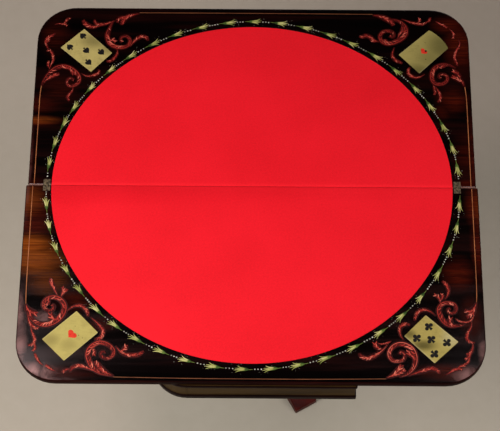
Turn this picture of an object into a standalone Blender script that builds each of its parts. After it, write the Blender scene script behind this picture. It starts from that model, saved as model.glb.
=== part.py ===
"""Swivel-top card table.

An oblong frame with a well stands on a turned column with three splayed legs. The top is two
leaves joined by flush hinges with two pins each. It turns a quarter turn on a pivot bolt, which
brings the folded leaves across the frame, and the upper leaf then opens flat beside the lower one.

Units are metres. X runs along the seam of the open top, Y from the near edge to the far edge and
Z up. The origin is on the floor under the middle of the open top. The front of the frame faces -X.
The table is modelled with its top turned and open.
"""
import math

import bmesh
import bpy
from mathutils import Matrix, Vector

for old in list(bpy.data.objects):
    bpy.data.objects.remove(old, do_unlink=True)

# Clearances
GAP = 0.0003            # between two pieces that touch
CUT_OVERRUN = 0.004     # how far a cutter runs past the face it cuts
MERGE_DISTANCE = 0.00001

# Leaves
TABLE_HEIGHT = 0.735
TOP_LENGTH = 0.910      # along the seam
LEAF_DEPTH = 0.4185     # from the seam to the edge of a leaf
LEAF_THICKNESS = 0.019
LEAF_CORNER_RADIUS = 0.080
EDGE_ROUND = 0.0024     # rounding of the leaf edges, also the depth of the hinge pins
UPPER_END_INSET = 0.0036        # of the upper leaf's ends inside those of the lower leaf
FOLDED_GAP = 0.0008     # between the two playing faces when the top is folded

# Cloth, let into the playing faces
CLOTH_HINGE_DISTANCE = 0.0015   # between the cloth and the hinge plates
LOWER_CLOTH_MARGIN = 0.0367     # between the cloth and the edge of the leaf
UPPER_CLOTH_MARGIN = 0.0440
CLOTH_THICKNESS = 0.0010
CLOTH_SINK = 0.0002     # of the cloth's face below the wood
CLOTH_SEAM_SHARE = 0.7  # of the edge rounding that the cloth leaves bare at the seam

# Flush hinges
HINGE_END_DISTANCE = 0.0415     # from the end of the lower leaf to the middle of the hinge
HINGE_WIDTH = 0.014
HINGE_PLATE_LENGTH = 0.013
HINGE_PLATE_THICKNESS = 0.005
LINK_THICKNESS = 0.003
LINK_END_RADIUS = 0.0021
LINK_SIDE_CLEARANCE = 0.0003
HINGE_PIN_RADIUS = 0.0009

# Frame
END_OVERHANG = 0.0325   # of the closed top past the foot moulding of the frame
BACK_OVERHANG = 0.00275
FRONT_OVERHANG = 0.01575
FRAME_HEIGHT = 0.066
FRAME_CORNER_RADIUS = 0.070
RAIL_THICKNESS = 0.020
MOULDING_HEIGHT = 0.015
MOULDING_PROUD = 0.003
MOULDING_LEDGE = 0.006  # inside the rails, under the boards of the frame
MOULDING_ROUND = 0.003
WOOD_EASE = 0.0008      # small bevel on sawn edges

# Inside the frame
WELL_PARTITION_DISTANCE = 0.066     # from the middle of the frame
WELL_PARTITION_THICKNESS = 0.012
WELL_PARTITION_DROP = 0.001
WELL_BOTTOM_THICKNESS = 0.006
BEARER_WIDTH = 0.120
BEARER_THICKNESS = 0.024
PIVOT_RAIL_WIDTH = 0.070
PIVOT_RAIL_THICKNESS = 0.025
GLUE_BLOCK_SIDE = 0.024
STOP_BLOCK_SIDE = 0.020
STOP_BLOCK_THICKNESS = 0.012

# Pivot
PIVOT_BOLT_RADIUS = 0.006
PIVOT_HEAD_RADIUS = 0.011
PIVOT_HEAD_THICKNESS = 0.004
PIVOT_PLATE_RADIUS = 0.035
PIVOT_PLATE_THICKNESS = 0.004
PIVOT_BUSH_WALL = 0.003
WASHER_RADIUS = 0.016
WASHER_THICKNESS = 0.002
NUT_RADIUS = 0.012
NUT_THICKNESS = 0.009
BOLT_END = 0.004        # below the nut

# Screws
SMALL_SCREW = (0.0020, 0.0010, 0.011)   # head radius, shank radius, length
PLATE_SCREW = (0.0035, 0.0018, 0.010)
SPIDER_SCREW = (0.0045, 0.0022, 0.022)
SCREW_HEAD_SINK = 0.0002

# Column and legs
TENON_RADIUS = 0.0175
COLLAR_RADIUS = 0.038
NECK_RADIUS = 0.020
VASE_RADIUS = 0.036
DRUM_RADIUS = 0.048
DRUM_CHAMFER = 0.005
LEG_REACH = 0.245       # from the column's axis to the toe
LEG_TOP = 0.195
LEG_WIDTH = 0.055
LEG_EASE = 0.002
LEG_SEAT = 0.036        # from the column's axis to the flat that a leg stands against
SPIDER_ARM_WIDTH = 0.030
SPIDER_THICKNESS = 0.003

# Leg outline: shares of its length from its seat to the toe, and of its top's height
LEG_TOP_SHARES = (
    (0.02, 1.0), (0.20, 0.985), (0.39, 0.90), (0.54, 0.74),
    (0.66, 0.54), (0.755, 0.35), (0.86, 0.18), (1.0, 0.10),
)
LEG_UNDER_SHARES = ((0.79, 0.0), (0.70, 0.07), (0.61, 0.21), (0.495, 0.345), (0.365, 0.425), (0.25, 0.45))
LEG_FLAT_SHARE = 0.45           # height of the flat under the leg's inner end
SPIDER_ARM_SHARE = 0.225        # of the leg's length, along that flat

# Column outline between the collar and the drum: share of the height, radius
COLUMN_SHARES = (
    (0.05, COLLAR_RADIUS), (0.085, 0.80 * COLLAR_RADIUS), (0.12, NECK_RADIUS), (0.17, 0.92 * NECK_RADIUS),
    (0.30, 0.60 * VASE_RADIUS), (0.47, 0.84 * VASE_RADIUS), (0.60, VASE_RADIUS), (0.72, 0.86 * VASE_RADIUS),
    (0.80, 0.62 * VASE_RADIUS), (0.85, 0.62 * VASE_RADIUS), (0.89, 0.95 * VASE_RADIUS),
    (0.93, 1.05 * VASE_RADIUS), (0.97, 0.90 * VASE_RADIUS),
)

# How finely round shapes are divided
CORNER_STEPS = 10
CLOTH_STEPS = 48
COLUMN_STEPS = 24
ROUND_SIDES = 24
SMALL_SIDES = 12
EDGE_SEGMENTS = 3
SMOOTH_STEPS = 3
FLAT_ANGLE = math.radians(0.5)  # faces that meet at less are made one
SHARP_ANGLE = math.radians(40)  # edges that turn by more are rounded

# Places that follow from the sizes
seam_y = 0.0            # the leaves are equally deep, so the seam lies over the origin
half_length = TOP_LENGTH / 2
upper_half_length = half_length - UPPER_END_INSET
leaf_bottom = TABLE_HEIGHT - LEAF_THICKNESS
pivot = Vector((LEAF_DEPTH / 4, seam_y - LEAF_DEPTH / 4))

frame_top = leaf_bottom - GAP
frame_bottom = frame_top - FRAME_HEIGHT
rail_bottom = frame_bottom + MOULDING_HEIGHT + GAP
board_bottom = rail_bottom
outer_back = 2 * pivot.x - BACK_OVERHANG
outer_front = 2 * pivot.x - LEAF_DEPTH + FRONT_OVERHANG
outer_near = seam_y - half_length + END_OVERHANG
outer_far = seam_y + half_length - END_OVERHANG
rail_back = outer_back - MOULDING_PROUD
rail_front = outer_front + MOULDING_PROUD
rail_near = outer_near + MOULDING_PROUD
rail_far = outer_far - MOULDING_PROUD
rail_radius = FRAME_CORNER_RADIUS - MOULDING_PROUD
inside_back = rail_back - RAIL_THICKNESS
inside_front = rail_front + RAIL_THICKNESS
inside_near = rail_near + RAIL_THICKNESS
inside_far = rail_far - RAIL_THICKNESS
middle = Vector(((outer_front + outer_back) / 2, seam_y))

pin_offset = EDGE_ROUND + FOLDED_GAP / 2
pin_height = TABLE_HEIGHT - EDGE_ROUND
hinge_x = half_length - HINGE_END_DISTANCE
cloth_half_width = hinge_x - HINGE_WIDTH / 2 - CLOTH_HINGE_DISTANCE
plate_inner = GAP / 2
pin_hole_radius = HINGE_PIN_RADIUS + GAP
slot_width = LINK_THICKNESS + 2 * LINK_SIDE_CLEARANCE

bearer_top = board_bottom + BEARER_THICKNESS
column_top = bearer_top - GAP
column_shoulder = board_bottom - GAP
leg_flat = LEG_TOP * LEG_FLAT_SHARE
leg_inner = LEG_SEAT + GAP
leg_length = LEG_REACH - leg_inner
spider_reach = leg_inner + leg_length * SPIDER_ARM_SHARE
drum_top = LEG_TOP + DRUM_CHAMFER * 2
LEG_WORDS = ("front", "near", "far")
leg_directions = (180, -60, 60)
STAR_ARMS = len(leg_directions)

parts = bpy.data.collections.new("swivel_card_table")
bpy.context.scene.collection.children.link(parts)
cutters = bpy.data.collections.new("cutters")
bpy.context.scene.collection.children.link(cutters)


def make_material(name, colour, roughness, metallic=0.0):
    """A plain Principled material."""
    material = bpy.data.materials.new(name)
    material.use_nodes = True
    shader = material.node_tree.nodes["Principled BSDF"]
    shader.inputs["Base Color"].default_value = (*colour, 1.0)
    shader.inputs["Roughness"].default_value = roughness
    shader.inputs["Metallic"].default_value = metallic
    return material


rosewood = make_material("dark_rosewood", (0.060, 0.016, 0.012), 0.30)
ebonised = make_material("ebonised_wood", (0.020, 0.012, 0.010), 0.35)
mahogany = make_material("red_brown_wood", (0.200, 0.055, 0.025), 0.38)
pine = make_material("pale_inside_wood", (0.480, 0.330, 0.180), 0.65)
baize = make_material("red_baize", (0.700, 0.015, 0.030), 0.95)
brass = make_material("aged_brass", (0.420, 0.360, 0.240), 0.42, 1.0)
iron = make_material("dark_iron", (0.130, 0.125, 0.120), 0.50, 1.0)


def add_object(name, mesh, material=None):
    """Links a mesh as a part, or as a cutter when it has no material."""
    thing = bpy.data.objects.new(name, mesh)
    if material is None:
        cutters.objects.link(thing)
        thing.hide_render = True
        thing.display_type = "WIRE"
    else:
        parts.objects.link(thing)
        mesh.materials.append(material)
    return thing


def arc(centre, radius, start, end, steps):
    """Points on an arc, with the angles in degrees."""
    points = []
    for step in range(steps + 1):
        angle = math.radians(start + (end - start) * step / steps)
        points.append((centre[0] + radius * math.cos(angle), centre[1] + radius * math.sin(angle)))
    return points


def smooth(points, steps=SMOOTH_STEPS):
    """A smooth line through the points, which keeps its two ends."""
    padded = [points[0], *points, points[-1]]
    line = []
    for before, start, end, after in zip(padded, padded[1:], padded[2:], padded[3:]):
        for step in range(steps):
            t = step / steps
            place = []
            for a, b, c, d in zip(before, start, end, after):
                curve = 2 * b + (c - a) * t + (2 * a - 5 * b + 4 * c - d) * t ** 2
                place.append((curve + (3 * b - a - 3 * c + d) * t ** 3) / 2)
            line.append(tuple(place))
    return [*line, points[-1]]


def box(name, low, high, material=None, ease=WOOD_EASE, segments=1):
    """A box between two corners, placed by its middle. A part gets eased edges, a cutter none."""
    low = Vector(low)
    high = Vector(high)
    shape = bmesh.new()
    bmesh.ops.create_cube(shape, size=1.0)
    bmesh.ops.scale(shape, vec=high - low, verts=shape.verts)
    mesh = bpy.data.meshes.new(name)
    shape.to_mesh(mesh)
    shape.free()
    thing = add_object(name, mesh, material)
    thing.location = (low + high) / 2
    if material is not None:
        add_bevel(thing, ease, segments)
    return thing


def cylinder(name, centre, radius, length, material=None, along="Z", sides=ROUND_SIDES):
    """A cylinder about the Z or the X direction, placed by its middle."""
    shape = bmesh.new()
    bmesh.ops.create_cone(
        shape, cap_ends=True, segments=sides, radius1=radius, radius2=radius, depth=length)
    mesh = bpy.data.meshes.new(name)
    shape.to_mesh(mesh)
    shape.free()
    thing = add_object(name, mesh, material)
    thing.location = centre
    if along == "X":
        thing.rotation_euler = (0, math.pi / 2, 0)
    return thing


def extruded(name, points, thickness, placing, material=None):
    """A flat outline with a thickness, made a mesh with welded caps. Its middle plane is placed."""
    curve = bpy.data.curves.new(name, "CURVE")
    curve.dimensions = "2D"
    curve.fill_mode = "BOTH"
    curve.extrude = thickness / 2
    spline = curve.splines.new("POLY")
    spline.points.add(len(points) - 1)
    for point, place in zip(spline.points, points):
        point.co = (place[0], place[1], 0, 1)
    spline.use_cyclic_u = True
    guide = bpy.data.objects.new(name + "_outline", curve)
    parts.objects.link(guide)
    guide.matrix_world = placing
    bpy.context.view_layer.update()
    evaluated = guide.evaluated_get(bpy.context.evaluated_depsgraph_get())
    mesh = bpy.data.meshes.new_from_object(evaluated)
    shape = bmesh.new()
    shape.from_mesh(mesh)
    bmesh.ops.remove_doubles(shape, verts=shape.verts, dist=MERGE_DISTANCE)
    bmesh.ops.dissolve_limit(shape, angle_limit=FLAT_ANGLE, verts=shape.verts, edges=shape.edges)
    shape.to_mesh(mesh)
    shape.free()
    thing = add_object(name, mesh, material)
    thing.matrix_world = guide.matrix_world
    bpy.data.objects.remove(guide, do_unlink=True)
    return thing


def slab(name, points, low, high, material=None):
    """A flat outline seen from above, between two heights."""
    return extruded(name, points, high - low, Matrix.Translation((0, 0, (low + high) / 2)), material)


def turned(name, profile, centre, steps, material=None, flip=False):
    """A turned solid from its outer side, listed top to bottom as radius and height."""
    mesh = bpy.data.meshes.new(name)
    edges = [(index, index + 1) for index in range(len(profile) - 1)]
    mesh.from_pydata([(radius, 0, height) for radius, height in profile], edges, [])
    thing = add_object(name, mesh, material)
    thing.location = centre
    if flip:
        thing.rotation_euler = (math.pi, 0, 0)
    screw = thing.modifiers.new("turning", "SCREW")
    screw.steps = steps
    screw.render_steps = steps
    screw.use_merge_vertices = True
    screw.merge_threshold = MERGE_DISTANCE
    screw.use_smooth_shade = False
    return thing


def add_bevel(thing, width, segments):
    """Rounds the sharp edges of a piece."""
    bevel = thing.modifiers.new("eased_edges", "BEVEL")
    bevel.width = width
    bevel.segments = segments
    bevel.limit_method = "ANGLE"
    bevel.angle_limit = SHARP_ANGLE
    bevel.use_clamp_overlap = True


def cut(thing, *tools):
    """Takes the cutters out of a piece."""
    for tool in tools:
        boolean = thing.modifiers.new("cut_" + tool.name, "BOOLEAN")
        boolean.operation = "DIFFERENCE"
        boolean.solver = "EXACT"
        boolean.object = tool


def screw_profile(size, grow=0.0):
    """Outer side of a countersunk screw, with its head at height zero and its point below."""
    head, shank, length = size
    head += grow
    shank += grow
    return [
        (0, grow), (head, grow), (head, -grow), (shank, shank - head - grow),
        (shank, 2 * shank - length), (0, -length - grow),
    ]


def make_screw(name, size, place, material, up=False):
    """A countersunk screw and the cutter for its hole."""
    screw = turned(name, screw_profile(size), place, SMALL_SIDES, material, up)
    hole = turned(name + "_hole", screw_profile(size, GAP), place, SMALL_SIDES, None, up)
    return screw, hole


def leaf_outline(half, side):
    """Outline of a leaf with round outer corners. The side is -1 near and 1 far."""
    radius = LEAF_CORNER_RADIUS
    line = [(-half, GAP / 2)]
    line += arc((radius - half, LEAF_DEPTH - radius), radius, 180, 90, CORNER_STEPS)
    line += arc((half - radius, LEAF_DEPTH - radius), radius, 90, 0, CORNER_STEPS)
    line.append((half, GAP / 2))
    return [(x, seam_y + side * away) for x, away in line]


def cloth_outline(margin, side, start, shrink):
    """Half an ellipse of cloth, from a straight edge beside the seam."""
    half_width = cloth_half_width - shrink
    half_depth = LEAF_DEPTH - margin - shrink
    line = [(half_width, start)]
    for x, away in arc((0, 0), 1.0, 0, 180, CLOTH_STEPS):
        if away * half_depth > start:
            line.append((x * half_width, away * half_depth))
    line.append((-half_width, start))
    return [(x, seam_y + side * away) for x, away in line]


def make_cloth(name, margin, side):
    """Cloth of one leaf and the recess it lies in."""
    face = TABLE_HEIGHT - CLOTH_SINK
    seam_inset = GAP / 2 + EDGE_ROUND * CLOTH_SEAM_SHARE
    outline = cloth_outline(margin, side, seam_inset, 2 * GAP)
    floor = face - CLOTH_THICKNESS
    cloth = slab(name, outline, floor, face, baize)
    recess_outline = cloth_outline(margin, side, -CUT_OVERRUN, 0.0)
    recess = slab(name + "_recess", recess_outline, floor - GAP, TABLE_HEIGHT + CUT_OVERRUN)
    return cloth, recess


def hinge_placing(x, side):
    """Plane across a hinge: its first axis leads away from the seam into one leaf."""
    first = Vector((0, side, 0))
    up = Vector((0, 0, 1))
    third = first.cross(up)
    turn = Matrix((first, up, third)).transposed().to_4x4()
    return Matrix.Translation((x, seam_y, TABLE_HEIGHT)) @ turn


def make_hinge_plate(name, x, side):
    """Forked brass plate let into one leaf, and its pocket. Its seam edge is round about the pin."""
    round_centre = (plate_inner + EDGE_ROUND, -EDGE_ROUND)
    outline = [(plate_inner, -HINGE_PLATE_THICKNESS)]
    outline += arc(round_centre, EDGE_ROUND, 180, 90, EDGE_SEGMENTS)
    outline += [(HINGE_PLATE_LENGTH, 0), (HINGE_PLATE_LENGTH, -HINGE_PLATE_THICKNESS)]
    plate = extruded(name, outline, HINGE_WIDTH, hinge_placing(x, side), brass)
    slot_end = pin_offset + LINK_END_RADIUS + 2 * GAP
    ends = sorted((seam_y - side * CUT_OVERRUN, seam_y + side * slot_end))
    slot = box(
        name + "_slot",
        (x - slot_width / 2, ends[0], TABLE_HEIGHT - HINGE_PLATE_THICKNESS - CUT_OVERRUN),
        (x + slot_width / 2, ends[1], TABLE_HEIGHT + CUT_OVERRUN))
    pin_place = (x, seam_y + side * pin_offset, pin_height)
    hole_length = HINGE_WIDTH + 2 * CUT_OVERRUN
    hole = cylinder(name + "_pin_hole", pin_place, pin_hole_radius, hole_length, None, "X", SMALL_SIDES)
    cut(plate, slot, hole)
    ends = sorted((seam_y - side * CUT_OVERRUN, seam_y + side * (HINGE_PLATE_LENGTH + GAP)))
    pocket = box(
        name + "_pocket",
        (x - HINGE_WIDTH / 2 - GAP, ends[0], TABLE_HEIGHT - HINGE_PLATE_THICKNESS - GAP),
        (x + HINGE_WIDTH / 2 + GAP, ends[1], TABLE_HEIGHT + CUT_OVERRUN))
    return plate, pocket


def make_hinge_half(name, leaf, x, side):
    """The plate, pin and screw of one hinge in one leaf."""
    plate, pocket = make_hinge_plate(name + "_plate", x, side)
    cut(leaf, pocket)
    pin_place = (x, seam_y + side * pin_offset, pin_height)
    pin = cylinder(name + "_pin", pin_place, HINGE_PIN_RADIUS, HINGE_WIDTH, iron, "X", SMALL_SIDES)
    away = (pin_offset + LINK_END_RADIUS + HINGE_PLATE_LENGTH) / 2
    screw_place = (x, seam_y + side * away, TABLE_HEIGHT - SCREW_HEAD_SINK)
    screw, hole = make_screw(name + "_screw", SMALL_SCREW, screw_place, brass)
    cut(plate, hole)
    cut(leaf, hole)
    return [plate, pin, screw]


def make_leaf(name, half, margin, side):
    """One leaf with its cloth and its halves of the two hinges. Returns the leaf and all its pieces."""
    leaf = slab(name + "_leaf", leaf_outline(half, side), leaf_bottom, TABLE_HEIGHT, rosewood)
    add_bevel(leaf, EDGE_ROUND, EDGE_SEGMENTS)
    cloth, recess = make_cloth(name + "_baize", margin, side)
    cut(leaf, recess)
    pieces = [leaf, cloth]
    pieces += make_hinge_half(f"left_hinge_{name}", leaf, -hinge_x, side)
    pieces += make_hinge_half(f"right_hinge_{name}", leaf, hinge_x, side)
    return leaf, pieces


def make_link(name, x):
    """Brass link between the two pins of a hinge."""
    outline = arc((pin_offset, -EDGE_ROUND), LINK_END_RADIUS, -90, 90, SMALL_SIDES // 2)
    outline += arc((-pin_offset, -EDGE_ROUND), LINK_END_RADIUS, 90, 270, SMALL_SIDES // 2)
    link = extruded(name, outline, LINK_THICKNESS, hinge_placing(x, 1), brass)
    for number, side in enumerate((-1, 1)):
        place = (x, seam_y + side * pin_offset, pin_height)
        length = LINK_THICKNESS + 2 * CUT_OVERRUN
        cut(link, cylinder(f"{name}_hole_{number}", place, pin_hole_radius, length, None, "X", SMALL_SIDES))
    return link


def make_pivot(leaf, pivot_rail):
    """Pivot plate, bolt, washer, nut and screws, which turn with the lower leaf, and the bush."""
    x, y = pivot
    plate_top = leaf_bottom + PIVOT_PLATE_THICKNESS
    plate = cylinder(
        "pivot_plate", (x, y, leaf_bottom + PIVOT_PLATE_THICKNESS / 2), PIVOT_PLATE_RADIUS,
        PIVOT_PLATE_THICKNESS, iron)
    pocket_top = plate_top + GAP
    pocket_height = pocket_top - leaf_bottom + CUT_OVERRUN
    pocket = cylinder(
        "pivot_plate_pocket", (x, y, pocket_top - pocket_height / 2), PIVOT_PLATE_RADIUS + GAP,
        pocket_height)
    head_top = plate_top + GAP + PIVOT_HEAD_THICKNESS
    head_height = head_top + GAP - leaf_bottom
    head_pocket = cylinder(
        "pivot_head_pocket", (x, y, head_top + GAP - head_height / 2), PIVOT_HEAD_RADIUS + GAP,
        head_height)
    cut(leaf, pocket, head_pocket)
    rail_under = frame_top - PIVOT_RAIL_THICKNESS
    washer_top = rail_under - GAP
    nut_top = washer_top - WASHER_THICKNESS - GAP
    bolt_bottom = nut_top - NUT_THICKNESS - BOLT_END
    neck = plate_top + GAP
    bolt = turned(
        "pivot_bolt",
        [(0, head_top), (PIVOT_HEAD_RADIUS, head_top), (PIVOT_HEAD_RADIUS, neck),
         (PIVOT_BOLT_RADIUS, neck), (PIVOT_BOLT_RADIUS, bolt_bottom), (0, bolt_bottom)],
        (x, y, 0), ROUND_SIDES, iron)
    long_hole = cylinder(
        "pivot_bolt_hole", (x, y, (plate_top + bolt_bottom) / 2), PIVOT_BOLT_RADIUS + GAP,
        plate_top - bolt_bottom + 2 * CUT_OVERRUN)
    bush_outer = PIVOT_BOLT_RADIUS + GAP + PIVOT_BUSH_WALL
    bush = cylinder(
        "pivot_bush", (x, y, frame_top - PIVOT_RAIL_THICKNESS / 2), bush_outer,
        PIVOT_RAIL_THICKNESS, brass)
    bush_hole = cylinder(
        "pivot_bush_hole", (x, y, frame_top - PIVOT_RAIL_THICKNESS / 2), bush_outer + GAP,
        PIVOT_RAIL_THICKNESS + 2 * CUT_OVERRUN)
    cut(pivot_rail, bush_hole)
    washer = cylinder(
        "pivot_washer", (x, y, washer_top - WASHER_THICKNESS / 2), WASHER_RADIUS, WASHER_THICKNESS, iron)
    nut = cylinder("pivot_nut", (x, y, nut_top - NUT_THICKNESS / 2), NUT_RADIUS, NUT_THICKNESS, iron, sides=6)
    for piece in (plate, bush, washer, nut):
        cut(piece, long_hole)
    screw_circle = (PIVOT_HEAD_RADIUS + PIVOT_PLATE_RADIUS) / 2
    pieces = [plate, bolt, washer, nut]
    for number, (px, py) in enumerate(arc(pivot, screw_circle, 45, 315, 3), 1):
        place = (px, py, leaf_bottom + SCREW_HEAD_SINK)
        screw, hole = make_screw(f"pivot_plate_screw_{number}", PLATE_SCREW, place, iron, up=True)
        cut(plate, hole)
        cut(leaf, hole)
        pieces.append(screw)
    return pieces


def make_stop_block():
    """Square block under the lower leaf that meets the pivot rail at both ends of the turn."""
    near_side = PIVOT_RAIL_WIDTH / 2 + GAP
    far_side = near_side + STOP_BLOCK_SIDE
    return box(
        "turn_stop_block",
        (pivot.x + near_side, pivot.y - far_side, leaf_bottom - GAP - STOP_BLOCK_THICKNESS),
        (pivot.x + far_side, pivot.y - near_side, leaf_bottom - GAP), mahogany)


def make_rails():
    """Four rails and the two round corner pieces at the front."""
    low = rail_bottom
    high = frame_top
    start = rail_near + rail_radius + GAP
    end = rail_far - rail_radius - GAP
    box("front_rail", (rail_front, start, low), (inside_front, end, high), rosewood)
    box("back_rail", (inside_back, inside_near + GAP, low), (rail_back, inside_far - GAP, high), rosewood)
    left = rail_front + rail_radius + GAP
    box("near_end_rail", (left, rail_near, low), (rail_back, inside_near, high), rosewood)
    box("far_end_rail", (left, inside_far, low), (rail_back, rail_far, high), rosewood)
    for word, y, start in (("near", rail_near + rail_radius, 180), ("far", rail_far - rail_radius, 90)):
        centre = (rail_front + rail_radius, y)
        outline = arc(centre, rail_radius, start, start + 90, CORNER_STEPS)
        outline += arc(centre, rail_radius - RAIL_THICKNESS, start + 90, start, CORNER_STEPS)
        slab(word + "_corner_block", outline, low, high, rosewood)


def make_mouldings():
    """Foot moulding of the frame: straight strips, and end strips that go round the corners."""
    low = frame_bottom
    high = frame_bottom + MOULDING_HEIGHT
    width = MOULDING_PROUD + RAIL_THICKNESS + MOULDING_LEDGE
    radius = FRAME_CORNER_RADIUS
    for word, end, side in (("near", outer_near, 1), ("far", outer_far, -1)):
        centre = (outer_front + radius, radius)
        outline = arc(centre, radius, 180, 270, CORNER_STEPS)
        outline += [(outer_back, 0), (outer_back, width), (centre[0], width)]
        outline += arc(centre, radius - width, 270, 180, CORNER_STEPS)
        world = [(x, end + side * y) for x, y in outline]
        strip = slab(word + "_end_moulding", world, low, high, ebonised)
        add_bevel(strip, MOULDING_ROUND, EDGE_SEGMENTS)
    start = outer_near + radius + GAP
    end = outer_far - radius - GAP
    box(
        "front_moulding", (outer_front, start, low), (outer_front + width, end, high),
        ebonised, MOULDING_ROUND, EDGE_SEGMENTS)
    start = outer_near + width + GAP
    end = outer_far - width - GAP
    box(
        "back_moulding", (outer_back - width, start, low), (outer_back, end, high),
        ebonised, MOULDING_ROUND, EDGE_SEGMENTS)


def make_inside():
    """Boards inside the frame: well, bearer for the column and rail for the pivot."""
    left = inside_front + GAP
    right = inside_back - GAP
    partition_near = middle.y + WELL_PARTITION_DISTANCE
    partition_far = partition_near + WELL_PARTITION_THICKNESS
    box(
        "well_partition", (left, partition_near, board_bottom),
        (right, partition_far, frame_top - WELL_PARTITION_DROP), pine)
    corner = (rail_front + rail_radius, rail_far - rail_radius)
    outline = [(left, partition_far + GAP), (right, partition_far + GAP), (right, inside_far - GAP)]
    outline += arc(corner, rail_radius - RAIL_THICKNESS - GAP, 90, 180, CORNER_STEPS)
    well_bottom = slab("well_bottom", outline, board_bottom, board_bottom + WELL_BOTTOM_THICKNESS, pine)
    add_bevel(well_bottom, WOOD_EASE, 1)
    bearer = box(
        "column_bearer", (left, middle.y - BEARER_WIDTH / 2, board_bottom),
        (right, middle.y + BEARER_WIDTH / 2, bearer_top), pine)
    mortise = cylinder(
        "bearer_mortise", (middle.x, middle.y, (board_bottom + bearer_top) / 2), TENON_RADIUS + GAP,
        BEARER_THICKNESS + 2 * CUT_OVERRUN, sides=COLUMN_STEPS)
    cut(bearer, mortise)
    pivot_rail = box(
        "pivot_rail",
        (left, pivot.y - PIVOT_RAIL_WIDTH / 2, frame_top - PIVOT_RAIL_THICKNESS),
        (right, pivot.y + PIVOT_RAIL_WIDTH / 2, frame_top), mahogany)
    return pivot_rail


def make_glue_blocks():
    """Four blocks: two at the ends of the back rail and two under the ends of the pivot rail."""
    side = GLUE_BLOCK_SIDE
    left = inside_front + GAP
    right = inside_back - GAP - side
    partition_near = middle.y + WELL_PARTITION_DISTANCE
    low = board_bottom
    top = frame_top - WELL_PARTITION_DROP
    rail_under = frame_top - PIVOT_RAIL_THICKNESS - GAP
    spots = (
        ("near_corner_glue_block", right, inside_near + GAP, low, top),
        ("partition_glue_block", right, partition_near - GAP - side, bearer_top + GAP, top),
        ("front_pivot_rail_block", left, pivot.y - side / 2, low, rail_under),
        ("back_pivot_rail_block", right, pivot.y - side / 2, low, rail_under),
    )
    for name, x, y, start, end in spots:
        box(name, (x, y, start), (x + side, y + side, end), pine)


def make_column():
    """Turned column with a tenon above and a drum with three flats for the legs."""
    height = column_shoulder - drum_top
    shaped = [(radius, column_shoulder - share * height) for share, radius in COLUMN_SHARES]
    profile = [(0, column_top), (TENON_RADIUS, column_top), (TENON_RADIUS, column_shoulder)]
    profile += [(0.92 * COLLAR_RADIUS, column_shoulder)]
    profile += smooth([(COLLAR_RADIUS, column_shoulder - 0.02 * height), *shaped])
    profile += [
        (DRUM_RADIUS - DRUM_CHAMFER, drum_top), (DRUM_RADIUS, drum_top - DRUM_CHAMFER),
        (DRUM_RADIUS, leg_flat), (0, leg_flat),
    ]
    column = turned("column", profile, (middle.x, middle.y, 0), COLUMN_STEPS, mahogany)
    for direction in leg_directions:
        seat = box(
            f"leg_seat_{direction}", (LEG_SEAT, -LEG_WIDTH / 2 - GAP, leg_flat - CUT_OVERRUN),
            (DRUM_RADIUS + CUT_OVERRUN, LEG_WIDTH / 2 + GAP, LEG_TOP + GAP))
        turn = Matrix.Rotation(math.radians(direction), 4, "Z")
        place = Matrix.Translation((middle.x, middle.y, 0))
        seat.matrix_world = place @ turn @ Matrix.Translation(seat.location)
        cut(column, seat)
    return column


def make_legs():
    """Three splayed legs with flat sides. The front leg leads to -X."""
    upper = [(leg_inner + share * leg_length, up * LEG_TOP) for share, up in LEG_TOP_SHARES]
    under = [(leg_inner + share * leg_length, up * LEG_TOP) for share, up in LEG_UNDER_SHARES]
    outline = [(leg_inner, LEG_TOP), *smooth(upper), (LEG_REACH, 0), *smooth(under), (leg_inner, leg_flat)]
    legs = []
    for word, direction in zip(LEG_WORDS, leg_directions):
        angle = math.radians(direction)
        outward = Vector((math.cos(angle), math.sin(angle), 0))
        up = Vector((0, 0, 1))
        turn = Matrix((outward, up, outward.cross(up))).transposed().to_4x4()
        placing = Matrix.Translation((middle.x, middle.y, 0)) @ turn
        leg = extruded(word + "_leg", outline, LEG_WIDTH, placing, mahogany)
        add_bevel(leg, LEG_EASE, 2)
        legs.append(leg)
    return legs


def make_spider(column, legs):
    """Iron plate with three arms under the column, and its screws."""
    outline = []
    half = SPIDER_ARM_WIDTH / 2
    notch = half / math.sin(math.pi / STAR_ARMS)
    for direction in leg_directions:
        turn = Matrix.Rotation(math.radians(direction), 2)
        corner = Matrix.Rotation(math.radians(direction - 180 / STAR_ARMS), 2) @ Vector((notch, 0))
        ends = [turn @ Vector((spider_reach, -half)), turn @ Vector((spider_reach, half))]
        outline += [tuple(point + middle) for point in (corner, *ends)]
    top = leg_flat - GAP
    plate = slab("spider_plate", outline, top - SPIDER_THICKNESS, top, iron)
    height = top - SPIDER_THICKNESS + SCREW_HEAD_SINK
    arm_distance = (LEG_SEAT + spider_reach) / 2
    targets = [("column", column, 0, 0)]
    for word, leg, direction in zip(LEG_WORDS, legs, leg_directions):
        targets.append((word + "_leg", leg, arm_distance, math.radians(direction)))
    for word, wood, distance, angle in targets:
        place = (middle.x + distance * math.cos(angle), middle.y + distance * math.sin(angle), height)
        hole = make_screw(f"spider_{word}_screw", SPIDER_SCREW, place, iron, up=True)[1]
        cut(plate, hole)
        cut(wood, hole)


def carry(name, place, pieces):
    """An empty on a joint's axis that carries the pieces of one moving body."""
    axis = bpy.data.objects.new(name, None)
    parts.objects.link(axis)
    axis.location = place
    bpy.context.view_layer.update()
    for piece in pieces:
        piece.parent = axis
        piece.matrix_parent_inverse = axis.matrix_world.inverted()
    return axis


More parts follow.
